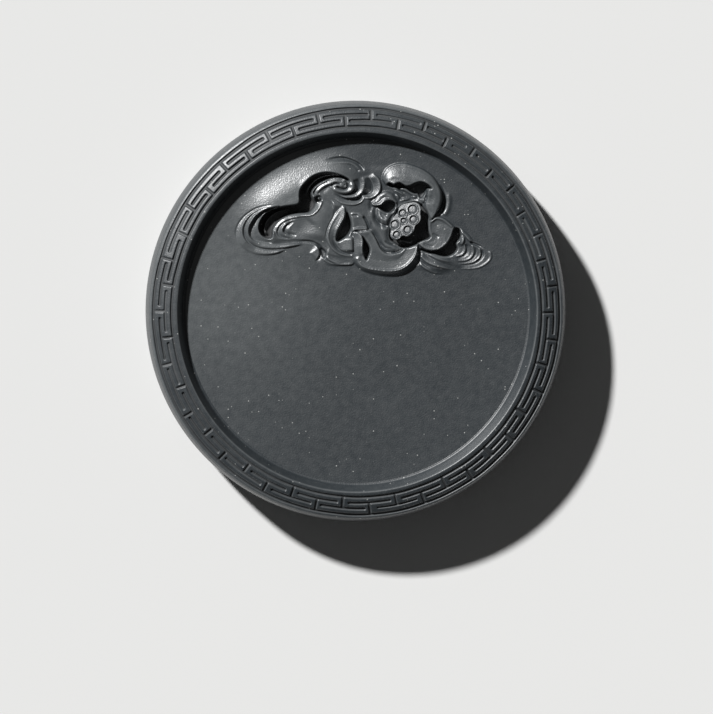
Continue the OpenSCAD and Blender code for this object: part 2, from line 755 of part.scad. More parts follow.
module stamen_collar()
    color(carved_color) in_carving()
        strip(
            [[7.9, 25.8], [9.5, 25.7], [11.0, 25.1], [12.5, 24.5]],
            [[8.6, 24.4], [9.6, 23.5], [11.0, 23.45], [12.6, 23.6]],
            crowned(0.7 * petal_h, edge_h), steps = 14
        );

// Stands its children on the pod's tilted face, whose middle lies at pod_c
module on_pod_face()
    translate([pod_c.x, pod_c.y, bed_z + pod_h])
        rotate([-pod_tilt, -pod_tilt, 0])
            children();

module seed_pod()
    color(carved_color) in_carving()
        difference() {
            intersection() {
                on_pod_face()
                    translate([-pod_c.x, -pod_c.y, -well_d])
                        linear_extrude(well_d) polygon(closed_curve(pod_face, 69));
                translate([0, 0, bed_z]) cylinder(r = bed_r, h = well_d, $fn = curve_fn);
            }
            for (s = sockets)
                on_pod_face()
                    translate([s.x - pod_c.x, s.y - pod_c.y, -socket_d])
                        cylinder(r = s.z, h = socket_d + past, $fn = curve_fn);
        }

// A seed: a short stem in its socket with a domed top level with the pod's face
module seed(r)
    rotate_extrude($fn = curve_fn)
        intersection() {
            translate([0, socket_d - dome_k * r]) circle(r = dome_k * r, $fn = curve_fn);
            square([r, socket_d]);
        }

module pod_seeds()
    color(carved_color) in_carving()
        for (s = sockets)
            on_pod_face()
                translate([s.x - pod_c.x, s.y - pod_c.y, -socket_d])
                    seed(s.z - seed_gap);

// Waves on the right

module wave_outer()
    color(carved_color) in_carving()
        strip(
            [
                [27.4, 13.2], [28.4, 12.2], [28.6, 11.2], [27.7, 10.0], [26.0, 9.2], [23.8, 8.85],
                [21.6, 9.0], [19.4, 9.6], [17.2, 10.6], [15.5, 11.9]
            ],
            [
                [26.5, 13.1], [26.4, 12.2], [25.9, 11.2], [24.6, 10.45], [22.8, 10.15], [20.8, 10.25],
                [18.8, 10.65], [17.4, 11.2], [16.2, 11.9], [15.8, 12.2]
            ],
            turned_up(ripple_h, 0.6 * ripple_h), steps = 28
        );

module wave_inner()
    color(carved_color) in_carving() {
        strip(
            [
                [25.2, 14.0], [25.85, 12.8], [25.3, 11.5], [24.0, 10.8],
                [22.2, 10.5], [20.2, 10.65], [18.6, 11.1]
            ],
            [
                [24.0, 13.8], [24.2, 12.9], [23.7, 12.2], [22.8, 11.7],
                [21.6, 11.35], [20.2, 11.3], [18.9, 11.4]
            ],
            crowned(0.9 * ripple_h, edge_h)
        );
        strip(
            [[22.9, 15.3], [23.2, 14.2], [23.3, 13.1], [22.6, 12.1], [21.6, 11.75], [20.8, 11.75]],
            [[22.15, 15.4], [21.7, 14.5], [21.7, 13.5], [21.4, 12.8], [21.0, 12.3], [20.6, 12.0]],
            crowned(1.3 * ripple_h, edge_h), steps = 16
        );
    }

module wave_crest()
    color(carved_color) in_carving()
        strip(
            [[22.3, 17.2], [23.3, 16.9], [24.2, 16.1], [24.9, 15.2], [25.0, 14.6]],
            [[22.3, 16.4], [22.9, 16.0], [23.3, 15.4], [23.6, 14.8], [24.0, 14.3]],
            crowned(ripple_h, edge_h), steps = 14
        );

module wave_tails()
    color(carved_color) in_carving() {
        strip(
            [[13.9, 12.5], [14.8, 11.5], [16.2, 10.5], [18.0, 9.6], [20.0, 8.95], [22.0, 8.6]],
            [[13.6, 11.2], [14.5, 10.2], [15.8, 9.45], [17.4, 8.85], [19.2, 8.5], [21.4, 8.3]],
            crowned(ripple_h, edge_h)
        );
        strip(
            [[13.5, 10.6], [14.4, 9.8], [15.6, 9.1], [17.0, 8.6]],
            [[13.4, 9.9], [14.3, 8.9], [15.6, 8.25], [17.2, 8.1]],
            crowned(0.7 * ripple_h, edge_h), steps = 12
        );
    }

stone_body();
rim();
fret_band();
grinding_bed();
water_scroll();
scroll_ripples();
scroll_core();
cloud_ground();
spiral_cloud();
spiral_steps();
shell_fold();
left_petal();
petal_heart();
folded_leaf();
turned_edge();
front_petal();
inner_petal();
small_petal();
hood_petal();
right_petal();
stamen_collar();
seed_pod();
pod_seeds();
wave_outer();
wave_inner();
wave_crest();
wave_tails();
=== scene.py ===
# %% [markdown]
# # A carved ink stone, lesson by lesson
# The object is a round ink stone, 89 mm across and 18 mm thick, cut from one block of dark slate.
# A carver turned the drum, sank a flat bed into it for grinding ink, cut a key fret round the rim,
# and left a lotus among water scrolls standing at the top of the bed. Each lesson below makes one
# of these forms or finishes. Lengths are written in millimetres, as a carver would measure them,
# and are turned into metres when a mesh is made.

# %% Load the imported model
import math
import bpy
import numpy as np
from mathutils import Matrix, Vector


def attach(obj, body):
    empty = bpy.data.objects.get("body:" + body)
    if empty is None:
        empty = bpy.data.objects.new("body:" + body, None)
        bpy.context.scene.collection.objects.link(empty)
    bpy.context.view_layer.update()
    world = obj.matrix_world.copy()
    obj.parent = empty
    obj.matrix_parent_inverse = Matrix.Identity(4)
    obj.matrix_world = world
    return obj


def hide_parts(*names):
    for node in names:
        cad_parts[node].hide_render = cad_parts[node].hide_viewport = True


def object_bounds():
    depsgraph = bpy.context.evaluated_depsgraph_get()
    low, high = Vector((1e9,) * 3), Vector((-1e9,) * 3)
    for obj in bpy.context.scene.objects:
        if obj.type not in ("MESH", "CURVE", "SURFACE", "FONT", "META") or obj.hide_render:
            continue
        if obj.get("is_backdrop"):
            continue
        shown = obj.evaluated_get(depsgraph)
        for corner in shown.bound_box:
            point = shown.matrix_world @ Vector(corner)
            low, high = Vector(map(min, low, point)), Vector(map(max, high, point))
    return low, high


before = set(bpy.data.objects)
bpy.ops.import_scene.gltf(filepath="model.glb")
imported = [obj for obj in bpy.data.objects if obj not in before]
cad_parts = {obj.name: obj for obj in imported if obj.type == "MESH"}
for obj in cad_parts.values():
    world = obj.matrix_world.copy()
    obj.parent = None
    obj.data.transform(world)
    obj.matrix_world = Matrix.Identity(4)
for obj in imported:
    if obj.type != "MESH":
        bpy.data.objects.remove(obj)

cad_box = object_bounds()
print("nodes:", len(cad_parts), "box:", cad_box)

# %% [markdown]
# ## The stone's own sizes
# The radii and levels are those of the solid model, so that every surface made here lies on its
# solid. The drum's side and the crown of the rim are circular arcs, as a turner's template gives.

# %% Sizes of the drum, the rim and the bed
MM = 0.001
STONE_R = 44.5
STONE_T = 18.0
BED_Z = 14.8
JOINT_Z = 12.0
HAIR = 0.004
BED_R = 36.2
WALL_FOOT_R = 36.7
LIP_R = 37.9
LIP_W = 0.3
ARRIS_R = 43.8
ARRIS_Z = 16.05
BELLY_Z = 8.75
SIDE_R = 38.41
FOOT_BEVEL = 0.8
CROWN = 0.26
FRET_RADII = (39.13, 40.387, 41.643, 42.9)
FRET_UNITS = 23
print("well depth:", round(STONE_T - BED_Z, 2), "mm")

# %% [markdown]
# ## Shader arithmetic that reads like arithmetic
# A material in Blender is a graph of nodes. Wiring it by hand in Python hides the idea behind
# bookkeeping, so a small class wraps one number that varies over the surface. Adding or multiplying
# two of them makes the Math node.

# %% Values that vary
class Wire:
    """A number or colour that varies over the surface."""

    def __init__(self, finish, socket):
        self.finish = finish
        self.socket = socket

    def math(self, operation, first, second):
        node = self.finish.tree.nodes.new("ShaderNodeMath")
        node.operation = operation
        self.finish.plug(node.inputs[0], first)
        self.finish.plug(node.inputs[1], second)
        return Wire(self.finish, node.outputs[0])

    def __add__(self, other):
        return self.math("ADD", self, other)

    __radd__ = __add__

    def __mul__(self, other):
        return self.math("MULTIPLY", self, other)

    __rmul__ = __mul__

    def __sub__(self, other):
        return self.math("SUBTRACT", self, other)

    def at_most(self, other):
        return self.math("MINIMUM", self, other)


print("a value that varies can be added, multiplied, taken away and capped")

# %% [markdown]
# ## A finish, and one way to add a node
# Every node other than the Math node comes from one method. It takes the kind of node, its settings
# and what goes into its sockets, and hands back a value that varies. Noise, a ramp of greys and a
# mix of two colours come up again and again, so each has a short name of its own.

# %% Finish
MIX_AMOUNT, MIX_FIRST, MIX_SECOND = 0, 6, 7
MIX_RESULT = 2


class Finish:
    """A material, and the one method that adds a node to it."""

    def __init__(self, name):
        self.material = bpy.data.materials.new(name)
        self.material.use_nodes = True
        self.tree = self.material.node_tree
        self.shader = self.tree.nodes["Principled BSDF"]

    def plug(self, socket, value):
        if isinstance(value, Wire):
            self.tree.links.new(value.socket, socket)
        else:
            socket.default_value = value

    def node(self, kind, settings, sockets, out):
        node = self.tree.nodes.new(kind)
        for name, value in settings.items():
            if name == "stops":
                ramp = node.color_ramp
                while len(ramp.elements) < len(value):
                    ramp.elements.new(0.5)
                for element, (place, grey) in zip(ramp.elements, value):
                    element.position = place
                    element.color = (grey, grey, grey, 1)
            else:
                setattr(node, name, value)
        for name, value in sockets.items():
            self.plug(node.inputs[name], value)
        return Wire(self, node.outputs[out])

    def noise(self, place, size_mm, detail=3.0, roughness=0.55):
        return self.node("ShaderNodeTexNoise", {}, {
            "Vector": place, "Scale": 1000.0 / size_mm, "Detail": detail, "Roughness": roughness}, "Fac")

    def grade(self, value, stops):
        return self.node("ShaderNodeValToRGB", {"stops": stops}, {"Fac": value}, "Color")

    def mix(self, amount, first, second):
        node = self.tree.nodes.new("ShaderNodeMix")
        node.data_type = "RGBA"
        self.plug(node.inputs[MIX_AMOUNT], amount)
        self.plug(node.inputs[MIX_FIRST], first)
        self.plug(node.inputs[MIX_SECOND], second)
        return Wire(self, node.outputs[MIX_RESULT])


print("colour mix: sockets", MIX_AMOUNT, MIX_FIRST, MIX_SECOND, "in,", MIX_RESULT, "out")

# %% [markdown]
# ## The stone's finish
# The stone is a slate of very fine grain, near black with a blue-green cast. The carver rubs it with
# ever finer grit until it shines like dull satin. Three things keep it from looking like plastic:
# faint clouds in the colour, a grain of a third of a millimetre that breaks up the shine, and edges
# that years of handling have rubbed paler. The edges come from a number for wear and sheen that each
# mesh carries on its points, worked out from its own shape. The same number also carries painted
# highlights on the rim's edges and a painted glow over two patches of the bed. Deep places carry a
# number named "hollow", which paints shade into them, near black.

# %% Slate: colour, grain, worn edges, painted highlights and painted shade
DARK_SLATE = (0.0165, 0.0225, 0.0275, 1)
BLUE_SLATE = (0.025, 0.032, 0.0375, 1)
MOTTLE_GREY = (0.064, 0.071, 0.074, 1)
GRAIN_GREY = (0.085, 0.092, 0.095, 1)
WEAR_AND_SHEEN_GREY = (0.18, 0.192, 0.196, 1)
PAINTED_SHADE_BLACK = (0.006, 0.0065, 0.007, 1)
PYRITE = (0.5, 0.51, 0.49, 1)
CLOUD_SIZE, MOTTLE_SIZE, GRAIN_SIZE = 16.0, 1.6, 0.3
FLECKS_PER_METRE = 1400.0
STONE_IOR = 1.65
BUMP_STRENGTH = 0.75


def slate(name, grain_depth, shine, gloss):
    finish = Finish(name)
    place = finish.node("ShaderNodeTexCoord", {}, {}, "Object")
    worn = finish.node("ShaderNodeAttribute", {"attribute_name": "worn"}, {}, "Fac")
    hollow = finish.node("ShaderNodeAttribute", {"attribute_name": "hollow"}, {}, "Fac")
    clouds = finish.noise(place, CLOUD_SIZE)
    mottle = finish.noise(place, MOTTLE_SIZE, 4.0, 0.65)
    grain = finish.noise(place, GRAIN_SIZE, 2.0, 0.7)

    tone = finish.mix(finish.grade(clouds, [(0.3, 0.0), (0.7, 1.0)]), DARK_SLATE, BLUE_SLATE)
    tone = finish.mix(finish.grade(mottle, [(0.35, 0.0), (0.75, 1.0)]) * 0.35, tone, MOTTLE_GREY)
    tone = finish.mix(finish.grade(grain, [(0.4, 0.0), (0.8, 1.0)]) * 0.3, tone, GRAIN_GREY)
    # paler where the wear mark is set: real wear, and also painted highlights and a painted glow
    tone = finish.mix((worn * (0.6 + 0.8 * mottle)).at_most(1.0) * 0.55, tone, WEAR_AND_SHEEN_GREY)
    # painted shade: deep places are darkened towards black
    tone = finish.mix(hollow * 0.9, tone, PAINTED_SHADE_BLACK)

    # flecks of pyrite, thinly scattered and about a fifth of a millimetre across
    cells = {"Vector": place, "Scale": FLECKS_PER_METRE}
    fleck_place = finish.node("ShaderNodeTexVoronoi", {}, cells, "Distance")
    fleck_pick = finish.node("ShaderNodeTexVoronoi", {}, cells, "Color")
    chosen = finish.node("ShaderNodeSeparateColor", {}, {"Color": fleck_pick}, "Red")
    fleck = finish.grade(fleck_place, [(0.1, 1.0), (0.22, 0.0)])
    fleck *= finish.grade(chosen, [(0.93, 0.0), (0.94, 1.0)])
    tone = finish.mix(fleck, tone, PYRITE)

    finish.plug(finish.shader.inputs["Base Color"], tone)
    rough = shine + 0.12 * mottle + 0.4 * hollow - 0.09 * worn
    finish.plug(finish.shader.inputs["Roughness"], rough)
    height = 0.9 * grain + 0.5 * mottle + 0.6 * clouds
    bump = finish.node("ShaderNodeBump", {}, {
        "Strength": BUMP_STRENGTH, "Distance": grain_depth * MM, "Height": height}, "Normal")
    finish.plug(finish.shader.inputs["Normal"], bump)
    finish.shader.inputs["IOR"].default_value = STONE_IOR
    finish.shader.inputs["Specular IOR Level"].default_value = gloss
    return finish.material


polished_slate = slate("polished_slate", 0.05, 0.38, 0.66)
carved_slate = slate("carved_slate", 0.07, 0.36, 0.88)
print("finishes:", polished_slate.name, carved_slate.name)

# %% [markdown]
# ## From numbers to a mesh
# All the pieces are made in the same way: points are worked out as whole arrays, and the quads
# between them follow from the rows and columns. A fine mesh with smooth shading carries soft carved
# edges better than a coarse one with modifiers, because every edge can have its own sharpness.

# %% Make a piece from rows of points
def make_piece(name, points_mm, quads, material, nodes, marks=None):
    mesh = bpy.data.meshes.new(name)
    mesh.from_pydata((np.asarray(points_mm) * MM).tolist(), [], quads)
    mesh.polygons.foreach_set("use_smooth", np.ones(len(mesh.polygons), bool))
    for mark, numbers in (marks or {}).items():
        layer = mesh.attributes.new(mark, "FLOAT", "POINT")
        layer.data.foreach_set("value", np.asarray(numbers, np.float32).ravel())
    mesh.materials.append(material)
    mesh.update()
    piece = bpy.data.objects.new(name, mesh)
    bpy.context.scene.collection.objects.link(piece)
    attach(piece, "root")
    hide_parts(*nodes)
    print(name, len(mesh.vertices), "points,", len(mesh.polygons), "faces")
    return piece


def ring_quads(rows, columns):
    """Quads of a surface of rows that each run once round the axis."""
    row, col = np.meshgrid(np.arange(rows - 1), np.arange(columns), indexing="ij")
    after = (col + 1) % columns
    below = row * columns
    above = below + columns
    corners = [below + col, below + after, above + after, above + col]
    return np.stack(corners, axis=-1).reshape(-1, 4).tolist()


def revolve(profile, columns):
    """Points of a profile of (radius, height) rows turned round the axis."""
    turn = np.arange(columns) * 2 * math.pi / columns
    profile = np.asarray(profile, float)
    radius = profile[:, :1] * np.ones(columns)
    x = radius * np.cos(turn)
    y = radius * np.sin(turn)
    z = profile[:, 1:2] * np.ones(columns)
    return np.stack([x, y, z], axis=-1)


def ease(t):
    t = np.clip(t, 0.0, 1.0)
    return t * t * (3.0 - 2.0 * t)


print("a drum of 2 rows and 4 columns has", len(ring_quads(2, 4)), "faces round its side")

# %% [markdown]
# ## The drum
# The lower part of the block is turned. Its side bows out a little to the belly and draws in again,
# so that the stone sits well in the hand, and a bevel keeps its foot from chipping. One profile
# turned round the axis gives it all, with closer rows where it bends. Drum and rim meet at a level
# that the real block doesn't show, so the last rows lie a hair apart, and no line is shaded there.

# %% The drum, turned from one profile
AXIS_R = 0.01
FOOT_ARC = 0.6
FOOT_ARC_IN = 0.25
DRUM_COLUMNS = 720


def side_radius(z):
    return STONE_R - SIDE_R + math.sqrt(SIDE_R ** 2 - (z - BELLY_Z) ** 2)


foot_in = side_radius(0.0) - FOOT_BEVEL
drum_profile = [(AXIS_R, 0.0)]
drum_profile += [(foot_in * k / 12, 0.0) for k in range(1, 12)]
for k in range(7):
    turn = math.radians(45 * k / 6)
    arc_r = foot_in - FOOT_ARC_IN + FOOT_ARC * math.sin(turn)
    drum_profile.append((arc_r, FOOT_ARC * (1 - math.cos(turn))))
bevel_top = FOOT_BEVEL + 0.05
while side_radius(bevel_top) > foot_in + bevel_top + 0.02:
    bevel_top += 0.005
drum_profile.append((side_radius(bevel_top) - 0.06, bevel_top - 0.1))
drum_profile.append((side_radius(bevel_top + 0.06), bevel_top + 0.06))
side_levels = list(np.linspace(bevel_top + 0.25, JOINT_Z - HAIR, 26)) + [JOINT_Z]
drum_profile += [(side_radius(z), z) for z in side_levels]
drum_profile += [(30.0, JOINT_Z), (10.0, JOINT_Z), (AXIS_R, JOINT_Z)]
drum_points = revolve(drum_profile, DRUM_COLUMNS)
drum_z = drum_points[..., 2]
drum_radius = np.hypot(drum_points[..., 0], drum_points[..., 1])
drum_worn = 0.9 * np.exp(-((drum_z - bevel_top) / 0.25) ** 2)
drum_worn += 0.5 * np.exp(-((drum_radius - foot_in) / 0.4) ** 2)
drum_worn *= (drum_z < 2.0)
drum_quads = ring_quads(len(drum_profile), DRUM_COLUMNS)
make_piece("drum", drum_points.reshape(-1, 3), drum_quads, polished_slate, ["stone_body"],
           {"worn": drum_worn, "hollow": np.zeros(drum_worn.shape)})

# %% [markdown]
# ## The key fret round the rim
# The rim carries a running fret: two unbroken lines, and between them a row of T shapes that hang
# from the outer line and stand on the inner one by turns. The carver lays out 23 pairs with
# dividers and cuts each line with a small flat chisel, so no two are quite alike. The cut could be
# modelled as hundreds of little blocks. It is easier to ask, for every point of the rim, how far it
# lies from the nearest line, and to sink it by a soft-edged amount.

# %% Lines of the fret
carver = np.random.default_rng(7)
FRET_PITCH = 2 * math.pi / FRET_UNITS
FRET_START = math.radians(7.5)
LINE_HALF = 0.27
CUT_DEPTH = 0.42
BAR_TURN = 0.1065
UNIT_TURN = 0.14
# how far the hand strays: in place and bar in radians, in slant as a slope, in radius in
# millimetres, in width and depth as a share
STRAY = {"place": 0.0035, "slant": 0.02, "bar": 0.004, "radius": 0.035, "width": 0.07, "depth": 0.12}


def cut_share(gap, half, soft=0.09):
    """1 in the middle of a cut line, 0 on the land, with a soft edge between."""
    return ease((half + soft - gap) / (2 * soft))


def fret_cut(turn, radius):
    """Share of the full depth that the fret is cut at each point of the rim."""
    wander = 0.05 * np.sin(3 * turn + 0.7) + 0.035 * np.sin(11 * turn + 2.0) + 0.02 * np.sin(29 * turn)
    r = radius + wander
    share = cut_share(np.abs(r - FRET_RADII[0]), LINE_HALF * 0.95)
    share = np.maximum(share, cut_share(np.abs(r - FRET_RADII[3]), LINE_HALF))
    for unit in range(FRET_UNITS):
        for lean, stem_from, stem_to, place in ((1, 3, 1, 0.0), (-1, 0, 2, 0.5)):
            middle = FRET_START + (unit + place) * FRET_PITCH + carver.normal(0, STRAY["place"])
            slant = carver.normal(0, STRAY["slant"])
            bar_from, bar_to = BAR_TURN + carver.normal(0, STRAY["bar"], 2)
            bar_r = FRET_RADII[stem_to] + carver.normal(0, STRAY["radius"])
            half = LINE_HALF * (1 + carver.normal(0, STRAY["width"]))
            deep = 1 + carver.normal(0, STRAY["depth"])
            off = (turn - middle + math.pi) % (2 * math.pi) - math.pi
            near = np.nonzero(np.abs(off[0]) < UNIT_TURN)[0]
            a = off[:, near]
            rr = r[:, near]
            low, high = sorted((FRET_RADII[stem_from], bar_r))
            across = np.abs(a * rr + slant * (rr - low))
            beyond = np.maximum(np.maximum(low - rr, rr - high), 0)
            stem = cut_share(np.hypot(across, beyond), half) * deep
            over = np.maximum(np.maximum(a - bar_to, -bar_from - a), 0) * rr
            bar = cut_share(np.hypot(np.abs(rr - bar_r - 0.4 * slant * a * rr), over), half) * deep
            share[:, near] = np.maximum(share[:, near], np.maximum(stem, bar))
    return share


print("fret pitch:", round(math.degrees(FRET_PITCH), 3), "degrees")

# %% [markdown]
# ## The rim's profile
# The rim is one band of stone: a fillet at the bed, a wall that leans out, a narrow rounded lip, a
# crowned top that falls to the arris, and the upper part of the bowed side. All of it is one line
# to turn round the axis. A modifier could round the edges, but rows placed one by one can lie closer
# where the fret will be cut.

# %% The rim's profile
FILLET_R = 0.5
LIP_TURN = 0.42 * math.pi
FRET_ROW = 0.11


def rim_profile():
    wall = np.array([LIP_R - WALL_FOOT_R, STONE_T - LIP_W - BED_Z])
    wall_turn = math.atan2(wall[1], wall[0])
    fillet_c = np.array([WALL_FOOT_R - FILLET_R / math.tan((math.pi - wall_turn) / 2), BED_Z + FILLET_R])
    rows = [(BED_R, BED_Z - 0.05), (BED_R + 0.03, BED_Z - 0.03)]
    for k in range(7):
        turn = -math.pi / 2 + wall_turn * k / 6
        rows.append(tuple(fillet_c + FILLET_R * np.array([math.cos(turn), math.sin(turn)])))
    start = np.array(rows[-1])
    lip_c = np.array([LIP_R + LIP_W, STONE_T - LIP_W])
    end = lip_c + LIP_W * np.array([math.cos(math.pi), math.sin(math.pi)])
    rows += [tuple(start + (end - start) * k / 9) for k in range(1, 9)]
    for k in range(7):
        turn = math.pi - LIP_TURN * k / 6
        rows.append(tuple(lip_c + LIP_W * np.array([math.cos(turn), math.sin(turn)])))
    fret_from = len(rows)
    a = np.array([LIP_R + LIP_W, STONE_T])
    b = np.array([ARRIS_R - 0.25, ARRIS_Z])
    chord = np.linalg.norm(b - a)
    crown_r = (chord ** 2 / 4 + CROWN ** 2) / (2 * CROWN)
    out = np.array([a[1] - b[1], b[0] - a[0]]) / chord
    centre = (a + b) / 2 - (crown_r - CROWN) * out
    for r in np.arange(a[0] + 0.12, b[0] - 0.05, FRET_ROW):
        rows.append((r, centre[1] + math.sqrt(crown_r ** 2 - (r - centre[0]) ** 2)))
    fret_to = len(rows)
    rows += [(b[0], b[1]), (b[0] + 0.1, b[1] - 0.08), (b[0] + 0.19, b[1] - 0.2)]
    side_levels = list(np.linspace(ARRIS_Z - 0.36, JOINT_Z + HAIR, 16)) + [JOINT_Z]
    rows += [(side_radius(z), z) for z in side_levels]
    return rows, fret_from, fret_to


rim_rows, fret_from, fret_to = rim_profile()
print("rim profile:", len(rim_rows), "rows, of which", fret_to - fret_from, "carry the fret")

# %% [markdown]
# ## The rim, turned and cut
# The points on the cut lines are sunk, a little more here and a little less there. The edges of the
# lines, the lip and the arris are marked as worn, which paints them paler both as wear and as painted
# highlights, and the floor of each line as hollow, which paints shade into it. Two more rows close the
# ring down to the drum.

# %% The rim, turned and cut
RIM_COLUMNS = 2300
rim_points = revolve(rim_rows, RIM_COLUMNS)
rim_r = np.hypot(rim_points[..., 0], rim_points[..., 1])
rim_turn = np.arctan2(rim_points[..., 1], rim_points[..., 0])
cut = np.zeros(rim_r.shape)
cut[fret_from:fret_to] = fret_cut(rim_turn[fret_from:fret_to], rim_r[fret_from:fret_to])
cut_depth = CUT_DEPTH * (1 + 0.12 * np.sin(5 * rim_turn + 1.0) * np.sin(13 * rim_turn))
rim_points[..., 2] -= cut * cut_depth
# the edges of the cut lines, the lip and the arris are made paler: partly wear, partly painted highlights
land_edge = 4 * cut * (1 - cut)
row_z = np.array([row[1] for row in rim_rows])[:, None]
row_r = np.array([row[0] for row in rim_rows])[:, None]
lip_edge = np.exp(-((row_r - LIP_R - 0.12) / 0.16) ** 2) * (row_z > STONE_T - 0.5)
arris_edge = np.exp(-((row_z - ARRIS_Z + 0.08) / 0.16) ** 2) * (row_r > 43)
rim_wear_and_highlight = np.clip(0.9 * land_edge + 0.8 * lip_edge + 1.2 * arris_edge, 0, 1)
# painted shade: the floor of each cut line is darkened
rim_painted_shade = np.clip(1.4 * (cut - 0.5), 0, 0.6)
close_rows = revolve([(BED_R, JOINT_Z), (BED_R, BED_Z - 0.05)], RIM_COLUMNS)
rim_all = np.concatenate([rim_points, close_rows])
pad = np.zeros((2, RIM_COLUMNS))
rim_quads = ring_quads(len(rim_all), RIM_COLUMNS)
make_piece("fretted_rim", rim_all.reshape(-1, 3), rim_quads, polished_slate, ["rim", "fret_band"],
           {"worn": np.concatenate([rim_wear_and_highlight, pad]), "hollow": np.concatenate([rim_painted_shade, pad])})

# %% [markdown]
# ## A carver's tools in numbers
# The lotus relief is one skin of stone with no gap under it, so it is made as a height over every
# point of the bed. It could be sculpted by hand, but then nobody could say where a line runs. Here
# every cut follows a smooth line drawn through a few points measured on the stone. First come the
# grid of heights, the line, and the part of the grid round it.

# %% Lines drawn through points
CELL = 0.1
GRID_X = np.arange(-30.0, 32.0, CELL)
GRID_Y = np.arange(4.0, 36.0, CELL)
MM_X, MM_Y = np.meshgrid(GRID_X, GRID_Y)
relief = np.zeros_like(MM_X)


def through(points, gap=0.16, closed=False):
    """A smooth line through the points, as a row of places about gap millimetres apart."""
    p = np.array(points, float)
    if closed:
        p = np.vstack([p[-1], p, p[:2]])
    else:
        p = np.vstack([2 * p[0] - p[1], p, 2 * p[-1] - p[-2]])
    line = []
    for a, b, c, d in zip(p[:-3], p[1:-2], p[2:-1], p[3:]):
        steps = max(2, int(np.ceil(np.linalg.norm(c - b) / gap)))
        t = np.linspace(0.0, 1.0, steps, endpoint=False)[:, None]
        bend = (2 * a - 5 * b + 4 * c - d) * t ** 2 + (3 * b - a - 3 * c + d) * t ** 3
        line.append(0.5 * (2 * b + (c - a) * t + bend))
    line = np.vstack(line)
    return line if closed else np.vstack([line, p[-2]])


def window(line, reach):
    """The part of the grid that lies within reach of a line."""
    low = line.min(axis=0) - reach
    high = line.max(axis=0) + reach
    columns = slice(*np.searchsorted(GRID_X, [low[0], high[0]]))
    rows = slice(*np.searchsorted(GRID_Y, [low[1], high[1]]))
    return rows, columns


print("relief grid:", relief.shape)

# %% [markdown]
# ## How far from a line
# A cut needs to know three things about each place on the grid: how far it is from the line, how
# far along the line, and on which side of it. For an area it needs the depth inside the outline.
# Both are worked out for whole parts of the grid at once, a few dozen steps of the line at a time.

# %% Distance to a line
BATCH = 32


def nearest(line, x, y):
    """How far each place is from a line, how far along it, and on which side."""
    start = line[:-1]
    step = line[1:] - start
    length = np.maximum(np.linalg.norm(step, axis=1), 1e-9)
    run = np.concatenate([[0.0], np.cumsum(length)])
    px = x.reshape(-1, 1)
    py = y.reshape(-1, 1)
    best = np.full(px.shape[0], 1e9)
    along = np.zeros(px.shape[0])
    side = np.ones(px.shape[0])
    rows = np.arange(px.shape[0])
    for first in range(0, len(start), BATCH):
        s = slice(first, first + BATCH)
        dx = px - start[s, 0]
        dy = py - start[s, 1]
        t = np.clip((dx * step[s, 0] + dy * step[s, 1]) / length[s] ** 2, 0.0, 1.0)
        gap = np.hypot(dx - t * step[s, 0], dy - t * step[s, 1])
        k = gap.argmin(axis=1)
        g = gap[rows, k]
        near = g < best
        best = np.where(near, g, best)
        along = np.where(near, run[:-1][s][k] + t[rows, k] * length[s][k], along)
        cross = step[s, 0][k] * dy[rows, k] - step[s, 1][k] * dx[rows, k]
        side = np.where(near, np.sign(cross), side)
    return best.reshape(x.shape), (along / run[-1]).reshape(x.shape), side.reshape(x.shape)


def depth_inside(ring, x, y):
    """How deep each place lies inside a closed line, negative outside it."""
    ring = np.vstack([ring, ring[:1]])
    gap = nearest(ring, x, y)[0]
    inside = np.zeros(x.shape, bool)
    for (ax, ay), (bx, by) in zip(ring[:-1], ring[1:]):
        if ay != by:
            crosses = (ay > y) != (by > y)
            inside ^= crosses & (x < ax + (y - ay) * (bx - ax) / (by - ay))
    return np.where(inside, gap, -gap)


test_gap = nearest(np.array([[0.0, 0.0], [4.0, 0.0]]), np.array([1.0]), np.array([3.0]))[0]
print("a place 3 mm beside a line is", float(test_gap[0]), "mm from it")

# %% [markdown]
# ## Areas and bands
# "level" brings an area to one height. "strip" carves a band between two lines: "across" says where
# its cross-section bends, and each row gives the heights there at one place along the band. A cut
# that ended square would look like a machine's. So "ends" gives the share of a line's length, at
# its start and its end, over which the cut fades in and out.

# %% The cuts: level and strip
def fade_ends(along, ends):
    fade = np.ones_like(along)
    if ends[0] > 0:
        fade *= ease(along / ends[0])
    if ends[1] > 0:
        fade *= ease((1.0 - along) / ends[1])
    return fade


def level(outline, height, soft=0.3, dish=0.0):
    ring = through(outline, closed=True)
    w = window(ring, 0.3)
    deep = depth_inside(ring, MM_X[w], MM_Y[w])
    goal = height - dish * ease(deep / 2.0)
    relief[w] += ease((deep + 0.08) / soft) * (goal - relief[w])


def strip(outer, inner, across, rows, edge=0.14, ends=(0.06, 0.06), on_land=False):
    a = through(outer)
    b = through(inner)
    ring = np.vstack([a, b[::-1]])
    w = window(ring, 0.3)
    x, y = MM_X[w], MM_Y[w]
    deep = depth_inside(ring, x, y)
    gap_a, along = nearest(a, x, y)[:2]
    gap_b = nearest(b, x, y)[0]
    share = gap_a / np.maximum(gap_a + gap_b, 1e-6)
    goal = relief[w] * on_land
    for alone, heights in zip(np.eye(len(rows)), rows.values()):
        weight = np.interp(along, list(rows), alone)
        goal += weight * np.interp(share, across, heights)
    relief[w] += ease((deep + edge / 2) / edge) * fade_ends(along, ends) * (goal - relief[w])


print("areas and bands can be cut")

# %% [markdown]
# ## Crests and lines
# "cliff" leaves a bright crest with a steep drop on one side, given as 1 or -1. "ridge" and "groove"
# raise or sink a rounded line of one width. At the end, "settle" rubs all of it down.

